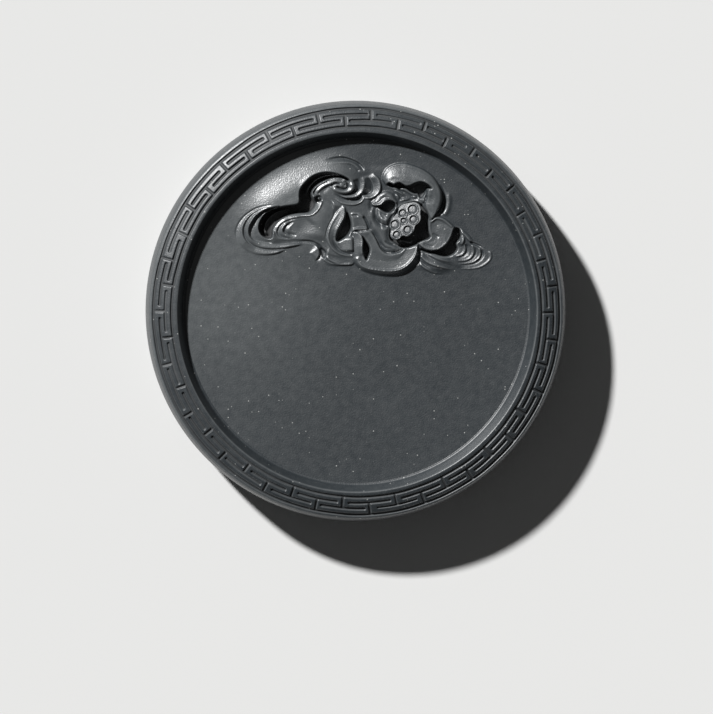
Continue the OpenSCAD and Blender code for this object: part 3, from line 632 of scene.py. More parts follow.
# %% The cuts: cliff, ridge and groove
def cliff(line, high, rise, rise_run, drop, drop_run, ends=(0.15, 0.15), edge=0.1):
    a = through(line)
    w = window(a, 3.5 * max(rise_run, drop_run))
    gap, along, side = nearest(a, MM_X[w], MM_Y[w])
    s = gap * side * high
    top = ease((s + edge) / (2 * edge))
    up = rise * np.exp(-(np.maximum(s, 0) / rise_run) ** 1.3)
    down = drop * np.exp(-(np.maximum(-s, 0) / drop_run) ** 1.3)
    relief[w] += (top * up - (1 - top) * down) * fade_ends(along, ends)


def ridge(line, width, height, ends=(0.2, 0.2)):
    a = through(line)
    w = window(a, 1.5 * width)
    gap, along = nearest(a, MM_X[w], MM_Y[w])[:2]
    relief[w] += height * np.exp(-(gap / (width / 2)) ** 2) * fade_ends(along, ends)


def groove(line, width, depth, ends=(0.2, 0.2)):
    ridge(line, width, -depth, ends)


def settle(heights, passes):
    """Rubs the surface down a little, as the last polishing does."""
    for _ in range(passes):
        pad = np.pad(heights, 1, mode="edge")
        around = pad[:-2, 1:-1] + pad[2:, 1:-1] + pad[1:-1, :-2] + pad[1:-1, 2:]
        heights = (4 * heights + around) / 8
    return heights


print("crests and lines can be cut")

# %% [markdown]
# ## The carved ground
# The whole carving stands a tenth of a millimetre proud of the bed. At the upper left the land swells
# up towards the channel, and the light rakes over the swell. A swell is no band between two lines, so
# it is worked out from the distance to the stone's middle and from the direction.

# %% Ground and swell
def measure(what, outline):
    """Prints how deep and how high the stone lies round some points."""
    part = relief[window(np.array(outline), 0)]
    print(what + ": from", round(float(part.min()), 2), "to", round(float(part.max()), 2), "mm")


GROUND_H = 0.12
SWELL_H = 1.45
carved_ground = [(-21.5, 20.5), (-17, 23), (-13, 25), (-11.5, 28.5), (-5, 30.8), (1, 31), (6, 31),
    (12, 30.6), (17, 27.5), (19, 22), (21.5, 18.5), (25, 15.8), (27, 12.5), (25.5, 10), (20, 9.6),
    (14, 9.3), (10, 9.6), (5, 9.2), (0.5, 10.6), (-5, 10.8), (-8, 12.6), (-11, 14.2), (-16, 14.2),
    (-20, 14.6), (-22.5, 16.5), (-22.8, 18.8)]
level(carved_ground, GROUND_H, soft=1.6)
from_centre = np.hypot(MM_X, MM_Y)
azimuth = np.degrees(np.arctan2(MM_Y, MM_X))
swell = SWELL_H * ease((35 - from_centre) / 7) * ease((from_centre - 21) / 4.5)
swell *= ease((azimuth - 84) / 18) * ease((152 - azimuth) / 26)
relief += swell
measure("ground and swell", carved_ground)

# %% [markdown]
# ## The water scroll
# At the left of the carving a scroll of water turns on itself. Its ripples step down, ring by ring,
# towards the pool that holds the ink. Each ripple rises gently towards its inner edge and then
# drops, so that it catches the light and throws a line of shade.

# %% Ripples of the scroll
lip_out = [(-17.2, 22.62), (-18.6, 22.6), (-20, 22.35), (-21.3, 22), (-22.7, 21.2), (-24, 20.2),
    (-25, 19), (-25.5, 18), (-25.75, 17), (-25.65, 15.8), (-25.15, 14.7), (-24.4, 13.75), (-23.4, 13),
    (-22.4, 12.5), (-21.3, 12.15), (-20, 11.98), (-18.5, 12), (-17, 12.3), (-15.8, 12.75), (-14.5, 13.2)]
lip_in = [(-17, 22.4), (-18.4, 22.25), (-19.8, 21.95), (-21.2, 21.3), (-22.3, 20.5), (-23.2, 19.5),
    (-23.75, 18.4), (-23.95, 17.4), (-23.8, 16.3), (-23.4, 15.4), (-22.7, 14.6), (-21.8, 14),
    (-20.8, 13.6), (-19.6, 13.3), (-18.2, 13.15), (-16.6, 13.25), (-15.4, 13.45), (-14.3, 13.7)]
strip(lip_out, lip_in, (0, 0.12, 0.3, 0.6, 0.85, 1), {
    0: (0, 0, 0.02, 0.05, 0.1, 0.1),
    0.18: (0, -0.35, -0.35, -0.15, 0.15, 0.05),
    0.32: (0, -0.25, -0.2, 0, 0.3, -0.1),
    0.45: (0, -0.15, 0, 0.2, 0.45, -0.2),
    0.58: (0, 0.1, 0.25, 0.4, 0.5, -0.4),
    0.7: (0, 0.12, 0.16, 0.06, -0.06, -0.45),
    0.8: (0, 0.3, 0.34, 0.22, 0.06, -0.35),
    0.92: (0, 0.45, 0.46, 0.32, 0.14, -0.2),
    1: (0, 0.14, 0.14, 0.06, -0.04, -0.15),
}, on_land=True)
ripple_b = [(-16.2, 22.3), (-17.5, 22.1), (-19, 21.7), (-20.2, 21.15), (-21.3, 20.3), (-22, 19.3),
    (-22.55, 18.3), (-22.8, 17.3), (-22.7, 16.3), (-22.3, 15.6), (-21.8, 15.1), (-20.8, 14.65),
    (-19.4, 14.4), (-17.6, 14.3), (-15.4, 14.35), (-13, 14.5), (-11, 14.6)]
ledge_edge = lip_in[:11] + [(-21.8, 14.05), (-20.8, 13.65), (-19.6, 13.4), (-18.2, 13.3), (-16.6, 13.35),
    (-15, 13.55), (-13, 13.95), (-11.2, 14.2)]
strip(ledge_edge, ripple_b, (0, 0.15, 0.5, 0.85, 1), {
    0: (0.1, 0.1, 0.15, 0.2, 0.2),
    0.2: (-0.4, -0.3, -0.1, 0.2, 0.25),
    0.4: (-0.45, -0.2, 0.1, 0.4, 0.2),
    0.52: (-0.5, 0, 0.3, 0.45, 0),
    0.62: (-0.1, 0.26, 0.2, 0.06, -0.25),
    0.78: (0.3, 0.5, 0.36, 0.22, 0.05),
    0.92: (0.35, 0.6, 0.48, 0.32, 0.15),
    1: (0.2, 0.26, 0.2, 0.12, 0.12),
}, on_land=True)
pool_bank = [(-15.8, 22.25), (-17.2, 21.95), (-18.5, 21.45), (-19.6, 20.7), (-20.4, 19.6), (-20.85, 18.4),
    (-20.85, 17.4), (-20.5, 16.5), (-19.8, 15.75), (-18.8, 15.3), (-17.4, 15.1)]
strip(ripple_b[:11] + [(-20.6, 14.75), (-19.2, 14.5), (-17.6, 14.4)], pool_bank, (0, 0.12, 0.45, 0.85, 1), {
    0: (0.1, 0, 0, 0, 0),
    0.15: (-0.2, -0.3, -0.15, 0.15, 0.2),
    0.5: (-0.2, -0.34, -0.15, 0.2, 0.3),
    0.72: (-0.1, -0.2, -0.1, 0.1, 0.15),
    1: (0.05, 0, 0.05, 0.3, 0.3),
}, ends=(0.02, 0.06))
measure("scroll", lip_out)

# %% [markdown]
# ## The ink pool
# Ink gathers in a pool that bends round the scroll and runs up as a channel under the cloud. It is
# one area sunk to one depth, with walls as steep as a chisel leaves them. A low ripple lies in the
# pool, and a terrace runs along the channel's far side, with its crest towards the spiral.

# %% Pool and channel
POOL_Z = -2.1
pool = [(-12.3, 22.95), (-13, 22.65), (-14.3, 22.45), (-15.7, 22.25), (-17.1, 21.9), (-18.4, 21.4),
    (-19.5, 20.65), (-20.3, 19.55), (-20.75, 18.4), (-20.75, 17.4), (-20.4, 16.55), (-19.75, 15.85),
    (-18.8, 15.45), (-18, 15.6), (-17.75, 16.2), (-17.7, 17), (-17.45, 17.9), (-16.8, 18.75),
    (-16, 19.45), (-15, 20), (-14, 20.4), (-12.5, 20.7), (-10.8, 20.82), (-10, 20.98), (-9.3, 21.6),
    (-8.8, 22.3), (-8.8, 23.1), (-9.3, 24), (-9.55, 24.8), (-9.4, 25.5), (-8.9, 26.2), (-8, 26.95),
    (-6.9, 27.55), (-5.7, 28.02), (-4.5, 28.27), (-3.3, 28.2), (-2.4, 27.9), (-1.9, 27.5), (-1.1, 27.15),
    (-1.7, 27.95), (-2.4, 28.45), (-3, 28.75), (-4, 29.1), (-5, 29.35), (-6, 29.48), (-7, 29.42),
    (-8, 29.22), (-9, 28.85), (-10, 28.2), (-11, 27.2), (-11.7, 26.3), (-12, 25.6), (-12.15, 24.6),
    (-12.1, 23.7)]
level(pool, POOL_Z, soft=0.3)
ridge([(-18.6, 16), (-19.3, 16.8), (-19.45, 17.8), (-19.1, 18.9), (-18.3, 20), (-17.1, 20.85),
    (-15.6, 21.4), (-13.6, 21.7)], 0.5, 0.9, ends=(0.1, 0.4))
strip([(-12.1, 23.9), (-12, 25.5), (-11.6, 26.4), (-10.9, 27.2), (-9.9, 28.1), (-8.9, 28.75),
    (-7.9, 29.1), (-6.9, 29.3), (-5.9, 29.35), (-4.9, 29.2), (-3.9, 28.95), (-2.8, 28.5)], [(-9.95, 23.2),
    (-10.3, 24.3), (-10.2, 25.4), (-9.75, 26.3), (-9, 27.2), (-8, 27.95), (-6.9, 28.4), (-5.8, 28.65),
    (-4.6, 28.7), (-3.4, 28.5), (-2.4, 28.2)], (0, 0.08, 0.4, 0.8, 1), {
    0: (-1.8, -2, -1.9, -1.6, -1.6),
    0.2: (-1.1, -1.6, -1.5, -1.05, -1),
    0.6: (-0.7, -1.15, -1.1, -0.75, -0.7),
    0.85: (-0.2, -0.5, -0.5, -0.35, -0.3),
    1: (0, -0.1, -0.1, -0.1, -0.1),
}, ends=(0.12, 0.06))
measure("pool", pool)

# %% [markdown]
# ## The bank of the pool
# Between the pool and the cloud the land rises again to a bank. Its edge has to follow the pool
# exactly, so it takes its points from the pool's own list. Two more ripples step down behind it.

# %% Bank and its ripples
level([(-17.5, 16.6), (-17.4, 17.9), (-16.7, 18.75), (-15.9, 19.4), (-14.9, 19.95), (-13.9, 20.3),
    (-12.4, 20.6), (-10.7, 20.7), (-9.8, 20.9), (-9.1, 21.6), (-8.65, 22.4), (-8.7, 23.2), (-9, 24.2),
    (-7, 24.5), (-5, 23), (-5, 19), (-5.5, 15), (-5.8, 13.2), (-6.4, 12.6), (-7, 13.3), (-7.7, 14.1),
    (-8.7, 14.65), (-9.8, 14.95), (-13, 15.15), (-15.6, 15.2), (-16.9, 15.7)], 0.34)
strip([(-17.7, 16.6)] + pool[16:27] + [(-9.2, 23.9)], [(-16.9, 16.4), (-16.4, 17.5), (-15.8, 18.3),
    (-15.1, 18.85), (-14.3, 19.35), (-13.4, 19.7), (-12.2, 20.05), (-10.7, 20.2), (-9.4, 20.4),
    (-8.4, 21.1), (-7.8, 21.9), (-7.35, 22.7), (-7.2, 23.3)], (0, 0.2, 0.8, 1), {
    0: (0.1, 0.2, 0.4, 0.4),
    0.4: (0, 0.2, 0.5, 0.5),
    0.75: (-0.1, 0.1, 0.62, 0.68),
    0.92: (-0.1, 0.1, 0.6, 0.66),
    1: (0.2, 0.3, 0.4, 0.4),
}, ends=(0.05, 0.1))
strip([(-13, 15.3), (-14.6, 15.35), (-15.8, 15.6), (-16.6, 16.1), (-16.9, 16.9), (-16.6, 17.8),
    (-15.9, 18.6), (-15, 19.2), (-13.8, 19.6), (-12.4, 19.85)], [(-12.6, 16), (-13.8, 16), (-14.8, 16.2),
    (-15.5, 16.6), (-15.75, 17.2), (-15.5, 17.9), (-15, 18.5), (-14.3, 18.95), (-13.3, 19.3),
    (-12.2, 19.5)], (0, 0.15, 0.8, 1), {
    0: (0.3, 0.25, 0.3, 0.3),
    0.2: (0.1, 0, 0.3, 0.36),
    0.5: (0, -0.12, 0.3, 0.42),
    0.8: (0.1, 0, 0.4, 0.46),
    1: (0.3, 0.28, 0.36, 0.36),
}, ends=(0.15, 0.1))
strip([(-12.4, 16), (-13.7, 16.05), (-14.7, 16.3), (-15.4, 16.7), (-15.6, 17.25), (-15.35, 17.9),
    (-14.8, 18.5), (-14, 18.95), (-13, 19.3)], [(-11.4, 16.6), (-12.4, 16.65), (-13.3, 16.85),
    (-13.9, 17.2), (-14, 17.7), (-13.7, 18.2), (-13.1, 18.6), (-12.3, 18.9), (-11.4, 19.1)],
    (0, 0.15, 0.75, 1), {
    0: (0.3, 0.3, 0.34, 0.34),
    0.25: (-0.1, -0.3, 0.3, 0.46),
    0.5: (-0.2, -0.42, 0.3, 0.5),
    0.8: (0, -0.15, 0.36, 0.46),
    1: (0.3, 0.3, 0.36, 0.36),
}, ends=(0.15, 0.15))
measure("bank", pool[16:27])

# %% [markdown]
# ## The spiral cloud
# Between the water and the lotus lies a cloud that curls into a spiral. A broad rope of stone comes
# round from the left and winds into a boss. The rope is one band, highest near its inner edge, and
# the turns of the boss are only ridges and grooves on a low round hill.

# %% Rope and boss
cloud_land = [(-8.6, 24.3), (-9.2, 24.8), (-8.9, 25.8), (-7.8, 26.8), (-6.2, 27.5), (-4.6, 28),
    (-3.2, 27.95), (-1.9, 27.6), (-0.8, 27.6), (0.4, 28.2), (2, 28.8), (4, 28.4), (5.2, 27), (5.2, 25.2),
    (3.6, 23.6), (3, 22.4), (3.6, 20), (2.6, 17.4), (0, 17), (-2.6, 21.5), (-5, 22.6), (-7.2, 23.6)]
level(cloud_land, 0.42, soft=0.9)
groove([(-15, 17.2), (-13, 17.6), (-11, 18.4), (-9.6, 20)], 5, 0.34)
ridge([(-6, 23.4), (-7.4, 20.6), (-8, 17.5), (-8.2, 14.8)], 6, 0.42, ends=(0.3, 0.2))
rope_out = [(-9.4, 24.5), (-9.4, 25), (-9.1, 25.7), (-8.5, 26.4), (-7.7, 27), (-6.7, 27.5), (-5.7, 27.95),
    (-4.5, 28.2), (-3.4, 28.1), (-2.4, 27.8)]
rope_in = [(-8.5, 24.5), (-8.3, 25), (-7.9, 25.5), (-7.3, 26.1), (-6.6, 26.55), (-5.9, 26.85),
    (-5.1, 27.1), (-4.4, 27.25), (-3.6, 27.2), (-2.9, 27)]
strip(rope_out, rope_in, (0, 0.07, 0.4, 0.8, 1), {
    0: (0.2, 0.3, 0.4, 0.42, 0.42),
    0.2: (0.2, 0.4, 0.56, 0.74, 0.7),
    0.55: (0.25, 0.5, 0.68, 0.88, 0.84),
    0.8: (0.35, 0.58, 0.74, 0.92, 0.9),
    1: (0.5, 0.6, 0.7, 0.8, 0.75),
}, ends=(0.1, 0.08))
head = [(-5.45, 26.7), (-5.35, 25.95), (-4.7, 25.3), (-3.7, 24.95), (-2.6, 24.82), (-1.6, 24.95),
    (-0.8, 25.4), (-0.35, 26.1), (-0.4, 26.9), (-0.9, 27.5), (-1.8, 27.9), (-2.9, 27.6), (-4, 27.35),
    (-5, 27.2)]
level(head, 0.72, soft=0.5)
ridge([(-5, 26.3), (-4.4, 25.7), (-3.5, 25.35), (-2.5, 25.25), (-1.6, 25.45), (-1, 25.95), (-0.9, 26.6),
    (-1.3, 27.3)], 0.8, 0.24, ends=(0.1, 0.1))
ridge([(-4.5, 26.9), (-3.9, 26.75), (-3.35, 26.55), (-2.9, 26.75)], 0.5, 0.28, ends=(0.2, 0.2))
groove([(-5.5, 26.55), (-5.1, 26.95), (-4.5, 27.2), (-3.9, 27.12), (-3.4, 26.95)], 0.36, 0.75,
    ends=(0.1, 0.25))
groove([(-4.5, 26.5), (-4, 26.3), (-3.5, 26.05), (-2.9, 25.93), (-2.3, 26.08), (-1.95, 26.5), (-2, 27),
    (-2.4, 27.45)], 0.38, 0.8, ends=(0.15, 0.25))
groove([(-2.6, 27), (-2.5, 26.7), (-2.7, 26.45)], 0.24, 0.3)
groove([(-7.6, 24.6), (-7.2, 25.3), (-6.7, 25.9), (-6.1, 26.3), (-5.4, 26.4)], 0.9, 0.14, ends=(0.4, 0.3))
measure("rope and boss", rope_out + head)

# %% [markdown]
# ## Three crescent hollows
# Three hollows step away from the boss to the lower right, each with a bright band beyond it. The
# depth of a hollow changes along its length, and this is what the rows of a band are for. The first
# is deepest at its middle and runs out at both tips.

# %% First hollow and its band
strip([(0.2, 28.4), (0.55, 27.4), (0.6, 26.5), (0.35, 25.7), (-0.2, 25.15), (-1, 24.8), (-2, 24.68),
    (-3, 24.72), (-3.8, 24.95)], [(-0.9, 27.9), (-0.4, 27), (-0.38, 26.4), (-0.6, 25.8), (-1.1, 25.3),
    (-1.7, 25), (-2.4, 24.88), (-3.1, 24.92), (-3.8, 25.05)], (0, 0.15, 0.85, 1), {
    0: (0.3, 0.3, 0.3, 0.3),
    0.15: (-0.1, -0.2, 0.1, 0.3),
    0.4: (-0.6, -0.75, -0.4, 0.3),
    0.7: (-0.4, -0.5, -0.4, 0.3),
    1: (0.2, 0.2, 0.25, 0.4),
}, ends=(0.1, 0.15))
strip([(0.3, 28.6), (0.62, 27.4), (0.62, 26.5), (0.4, 25.7), (-0.15, 25.12), (-1, 24.78), (-2, 24.66),
    (-3, 24.7), (-3.9, 24.95)], [(1.3, 28.9), (1.7, 27.6), (1.65, 26.5), (1.4, 25.6), (0.95, 25),
    (0.3, 24.5), (-0.6, 24.15), (-1.6, 24.05), (-2.6, 24.1), (-3.4, 24.4), (-4.3, 24.95)],
    (0, 0.2, 0.85, 1), {
    0: (0.3, 0.32, 0.36, 0.36),
    0.25: (0.3, 0.36, 0.6, 0.62),
    0.55: (0.2, 0.34, 0.68, 0.72),
    0.8: (0.2, 0.34, 0.62, 0.62),
    1: (0.35, 0.38, 0.42, 0.42),
}, ends=(0.15, 0.15))
measure("first hollow", [(-1, 24.8), (0.6, 26.4)])

# %% [markdown]
# ## The second hollow
# The second crescent lies under the first and gets deeper towards its right tip. Its band is broad
# and swells to the same side.

# %% Second hollow and its band
strip([(-4.9, 25.1), (-4.2, 24.7), (-3.3, 24.3), (-2.4, 24.02), (-1.2, 23.98), (-0.2, 24.12),
    (0.5, 24.45), (1.05, 25)], [(-4.7, 24.8), (-3.9, 24.3), (-3, 23.9), (-2.1, 23.6), (-1.2, 23.42),
    (-0.4, 23.36), (0.35, 23.5), (0.9, 23.9), (1.15, 24.4)], (0, 0.12, 0.85, 1), {
    0: (0.4, 0.35, 0.35, 0.4),
    0.25: (0.3, -0.1, 0, 0.3),
    0.55: (0.3, -0.5, -0.5, 0.2),
    0.85: (0.3, -0.7, -0.7, 0.2),
    1: (0.4, -0.2, -0.2, 0.4),
}, ends=(0.08, 0.04))
strip([(-4.6, 24.7), (-3.9, 24.2), (-3, 23.82), (-2.1, 23.52), (-1.2, 23.36), (-0.4, 23.3), (0.4, 23.45),
    (0.95, 23.9), (1.2, 24.4)], [(-4.4, 23.6), (-3.5, 22.95), (-2.5, 22.65), (-1.4, 22.52), (-0.4, 22.55),
    (0.4, 22.8), (1.1, 23.25), (1.5, 23.8), (1.6, 24.2)], (0, 0.25, 0.8, 1), {
    0: (0.42, 0.42, 0.42, 0.42),
    0.3: (0.3, 0.4, 0.66, 0.66),
    0.65: (0.25, 0.4, 0.76, 0.78),
    0.9: (0.2, 0.36, 0.74, 0.74),
    1: (0.2, 0.3, 0.5, 0.45),
}, ends=(0.2, 0.04))
measure("second hollow", [(-4.5, 22.6), (1.2, 24.8)])

# %% [markdown]
# ## The shell
# The third hollow is short and wide like a shell. Its floor slopes down to its far edge, and from
# there the broad bright band rises.

# %% Shell and its band
strip([(1.6, 28.6), (1.7, 27.6), (1.72, 26.5), (1.5, 25.6), (1.2, 25), (1.15, 24.6)], [(2.6, 28.3),
    (3.1, 27.5), (3.4, 26.7), (3.45, 25.9), (3.2, 25.25), (2.6, 24.85), (1.9, 24.6), (1.2, 24.45)],
    (0, 0.2, 0.6, 0.92, 1), {
    0: (0.36, 0.36, 0.36, 0.36, 0.36),
    0.3: (0.4, 0.2, -0.15, -0.4, 0.1),
    0.6: (0.3, 0, -0.45, -0.8, 0),
    0.85: (0.2, -0.2, -0.6, -0.9, 0),
    1: (0.3, -0.4, -0.6, -0.8, 0),
}, ends=(0.15, 0.03))
strip([(2.3, 28.7), (3.1, 27.8), (3.45, 26.9), (3.52, 25.9), (3.25, 25.2), (2.6, 24.8), (1.9, 24.52),
    (1.2, 24.38)], [(3.6, 29.2), (4.7, 28.1), (5.1, 26.9), (5.05, 25.8), (4.6, 24.9), (3.7, 24.2),
    (2.6, 23.85), (1.5, 23.95)], (0, 0.15, 0.8, 1), {
    0: (0.36, 0.36, 0.4, 0.36),
    0.3: (0.15, 0.25, 0.65, 0.66),
    0.6: (0.15, 0.28, 0.85, 0.92),
    0.85: (0.1, 0.25, 0.8, 0.8),
    1: (0.2, 0.3, 0.5, 0.5),
}, ends=(0.2, 0.05))
measure("shell", [(1.2, 24), (5, 28.5)])

# %% [markdown]
# ## A bead, and the cloud's back
# A small bead stands in a ring of shade where the rope begins. It is a groove bent into a ring, with
# a dot of stone in the middle. Behind the cloud a hollow sets its crest off against the rim.

# %% Bead and crest hollow
BEAD_X, BEAD_Y, BEAD_RING_R = -8.05, 23.95, 0.48
bead_ring = [(BEAD_X + BEAD_RING_R * math.cos(a), BEAD_Y + BEAD_RING_R * math.sin(a))
             for a in np.linspace(0, 2 * math.pi, 9)]
groove(bead_ring, 0.36, 0.6, ends=(0, 0))
ridge([(-8.1, 23.95), (-8, 23.95)], 0.62, 0.5, ends=(0, 0))
strip([(-7.5, 31.9), (-6.3, 32.3), (-5, 32.65), (-4, 32.8), (-3, 32.8), (-2, 32.6), (-1, 32.25),
    (0, 31.8), (0.8, 31.3), (1.5, 30.6), (1.7, 29.9), (1.3, 29.2)], [(-6.5, 31.2), (-5, 31.2),
    (-3.5, 31.3), (-2.4, 31.3), (-1.5, 31.15), (-0.7, 30.8), (-0.1, 30.3), (0.3, 29.8), (0.5, 29.4),
    (0.7, 29)], (0, 0.12, 0.3, 0.85, 1), {
    0: (0, 0, 0, 0, 0),
    0.2: (0, -0.2, -0.26, 0.03, 0.02),
    0.45: (0, -0.5, -0.5, 0.1, 0.02),
    0.75: (0, -0.5, -0.5, 0.25, 0.03),
    0.9: (0.1, -0.1, -0.2, 0, 0.05),
    1: (0, 0, 0, 0, 0),
}, ends=(0.25, 0.1), on_land=True)
groove([(-2.5, 31.4), (-1.5, 31.2), (-0.6, 30.8), (0.05, 30.2), (0.35, 29.5)], 0.5, 0.2, ends=(0.4, 0.1))
measure("bead", bead_ring)

# %% [markdown]
# ## The left petal
# The left petal is a long shield with a thin raised rim. It opens on a dark inner face, with a slit
# between the two that is cut almost straight down. The shield is one band from its outline to that
# inner face, so that the rim runs all round it without a join.

# %% Left petal
left_petal = [(-3, 22.6), (-4.1, 21.2), (-5.3, 19.6), (-6.2, 17.8), (-6.6, 16), (-6.3, 14.6),
    (-6.1, 13.4), (-6.6, 12.4), (-7.2, 11.5), (-6.8, 10.7), (-5.6, 10.1), (-4.2, 9.85), (-2.4, 9.8),
    (-0.8, 10), (-0.4, 11.4), (-0.7, 13), (-0.8, 14.8), (-1, 16.6), (-1.1, 18), (-1.6, 20), (-2.4, 21.4)]
level(left_petal, 0.5, soft=0.35)
strip([(-3, 22.7), (-4.1, 21.2), (-5.3, 19.6), (-6.2, 17.8), (-6.6, 16), (-6.3, 14.7), (-5.7, 13.6),
    (-4.9, 12.7), (-3.8, 12), (-2.4, 11.7), (-0.9, 11.7)], [(-2.5, 22.4), (-2.5, 20.9), (-2.75, 19.7),
    (-3.4, 18.5), (-4.1, 17.2), (-4.45, 15.9), (-4.45, 14.9), (-4.2, 14.2), (-3.6, 13.5), (-2.6, 12.9),
    (-1, 12.6)], (0, 0.1, 0.24, 0.36, 0.75, 1), {
    0: (0.4, 0.45, 0.5, 0.6, 0.8, 0.8),
    0.15: (0.35, 0.55, 0.62, 0.6, 0.8, 1.25),
    0.35: (0.3, 0.55, 0.75, 0.6, 0.74, 1.1),
    0.55: (0.3, 0.65, 0.95, 0.65, 0.4, 0.55),
    0.75: (0.3, 0.65, 0.95, 0.6, 0.2, 0.35),
    1: (0.4, 0.55, 0.6, 0.4, 0.5, 0.6),
}, ends=(0.03, 0.06))
inner_face = [(-4.5, 14.9), (-3.6, 15.1), (-2.9, 15.3), (-2.1, 15.8), (-1.4, 16.5), (-0.9, 17),
    (-0.8, 15.4), (-0.8, 13.6), (-0.9, 12.4), (-2.2, 12.35), (-3.2, 12.75), (-4.1, 13.5)]
level(inner_face, 0.55, soft=0.7)
ridge([(-1, 12.6), (-1, 14.5), (-1.1, 16.2)], 3.4, 0.6, ends=(0.15, 0.25))
groove([(-5, 15.4), (-4.8, 14.5), (-4.3, 13.7), (-3.6, 13), (-2.6, 12.45), (-1.8, 12.2), (-1, 12.15)],
    0.4, 0.26, ends=(0.3, 0.05))
groove([(-3.9, 14.5), (-3.6, 13.8), (-3.1, 13.2)], 0.3, 0.12)
dark_slit = [(-2.15, 21), (-2.35, 20), (-2.85, 19), (-3.45, 18), (-3.95, 17), (-4.28, 16), (-4.35, 15.2),
    (-4.05, 14.85), (-3.6, 14.95), (-3, 15.3), (-2.2, 15.85), (-1.6, 16.5), (-1.2, 17.4), (-1.1, 18.2),
    (-1.2, 19), (-1.5, 20), (-1.8, 20.75)]
level(dark_slit, -1.5, soft=0.25)
measure("left petal", left_petal)

# %% [markdown]
# ## The foot of the petal and the folded leaf
# The petal's foot has two thin crests with a groove between, and a pit at their left. A small leaf
# with turned edges lies over the petals higher up. The turned edge is a ridge, and a deep groove
# beside it parts the leaf from the next petal.

# %% Foot and leaf
level([(-7, 11.6), (-6.3, 10.7), (-5, 10.1), (-3.4, 9.85), (-1.6, 9.85), (-0.4, 10.15), (-0.5, 11.7),
    (-2.4, 11.8), (-4, 11.9), (-5.2, 12.2), (-6.2, 12.4)], 0.34, soft=0.6)
ridge([(-6.3, 12), (-5.9, 11.2), (-5.1, 10.65), (-4, 10.35), (-2.8, 10.3)], 0.55, 0.3, ends=(0.15, 0.5))
ridge([(-7.1, 10.8), (-6.2, 10.2), (-4.8, 9.9), (-3, 9.88), (-1, 10.05)], 0.4, 0.14, ends=(0.2, 0.1))
groove([(-7.3, 12.4), (-6.9, 11.5), (-6.3, 10.9), (-5.5, 10.45), (-4.6, 10.2), (-3.8, 10.1)], 0.36, 0.34,
    ends=(0.05, 0.4))
groove([(-12.5, 14.95), (-11, 14.95), (-9.5, 14.75), (-8.3, 14.2), (-7.5, 13.4), (-7, 12.7)], 0.5, 0.3,
    ends=(0.3, 0.1))
level([(-7.7, 13.5), (-7.1, 13.4), (-6.5, 12.9), (-6.35, 12.3), (-6.75, 11.3), (-7.3, 11.6),
    (-7.6, 12.5)], -0.8, soft=0.4)
cliff([(-8.9, 14.3), (-8.1, 13.5), (-7.85, 12.5), (-8.1, 11.5), (-8.9, 10.6)], -1, 0.42, 2.4, 0.5, 0.4,
    ends=(0.3, 0.3))
folded_leaf = [(-1.15, 20.75), (0.2, 20.8), (1.2, 20.45), (1.9, 19.4), (2.4, 18.2), (2.55, 17.3),
    (1, 17.2), (-0.3, 17.2), (-1, 17), (-1, 18.2), (-1.1, 19.4)]
level(folded_leaf, 0.62, soft=0.2, dish=0.1)
ridge([(-1.1, 17.05), (-0.3, 17.42), (0.8, 17.55), (2.3, 17.5)], 0.5, 0.36, ends=(0.05, 0.08))
groove([(-1.2, 20.4), (-0.4, 20.38), (0.4, 20.3)], 0.4, 0.24)
groove([(1.25, 20.3), (1.85, 19.4), (2.3, 18.4), (2.6, 17.25)], 0.42, 0.7, ends=(0.2, 0.03))
measure("folded leaf", folded_leaf)

# %% [markdown]
# ## The front petal
# The front petal is a shallow dish with a thin crest. It is the highest part at the bottom of the
# lotus, and the wall below it falls to the bed, broad and dark. Wall and dish are two bands that
# share the crest's line, so that no gap can open between them.

# %% Front and inner petals
inner_petal = [(2.4, 21.6), (2.2, 20.2), (2.5, 18.4), (2.9, 17.2), (3.7, 16.3), (4.3, 15.3), (4.8, 14.2),
    (5.4, 13.2), (6.2, 12.5), (7.4, 12.3), (8.8, 12.6), (9.9, 13.4), (9.2, 13.8), (8.2, 14.4),
    (7.2, 15.2), (6.9, 16.4), (7.1, 17.6), (6.6, 18.3), (5.6, 18.5), (4.7, 19), (4.1, 19.8), (4.1, 21),
    (3.6, 22.2)]
level(inner_petal, 0.62, soft=1.3)
front_petal = [(-0.9, 16.9), (-0.6, 15.2), (-0.7, 13.2), (-0.6, 11.6), (-0.1, 10.3), (0.9, 9.6),
    (2.2, 9.25), (3.8, 9), (5.6, 8.75), (7.4, 8.7), (9, 8.95), (10.4, 9.6), (11.6, 10.6), (12.4, 11.8),
    (12.85, 13), (12.9, 14.2), (12, 14.1), (10.5, 13.6), (9.9, 13.4), (9.2, 12.8), (8.2, 12.45),
    (7.2, 12.3), (6.2, 12.45), (5.4, 13.1), (4.8, 14.1), (4.3, 15.2), (3.7, 16.2), (2.8, 17.2),
    (1.2, 17.1), (0, 17)]
level(front_petal, 1.05, soft=0.25, dish=0.2)
rim_crest = [(0, 11.2), (0.9, 9.9), (2.2, 9.25), (3.8, 9), (5.6, 8.78), (7.4, 8.75), (9, 9.05),
    (10.4, 9.75), (11.5, 10.8), (12.3, 12), (12.75, 13.2), (12.9, 14)]
wall_foot = [(-0.9, 11.3), (-0.2, 9.9), (0.9, 8.85), (2.2, 8.25), (3.8, 7.8), (5.6, 7.5), (7.4, 7.4),
    (9, 7.6), (10.7, 8.3), (12, 9.3), (13.2, 10.3), (13.4, 11.6), (13.5, 13)]
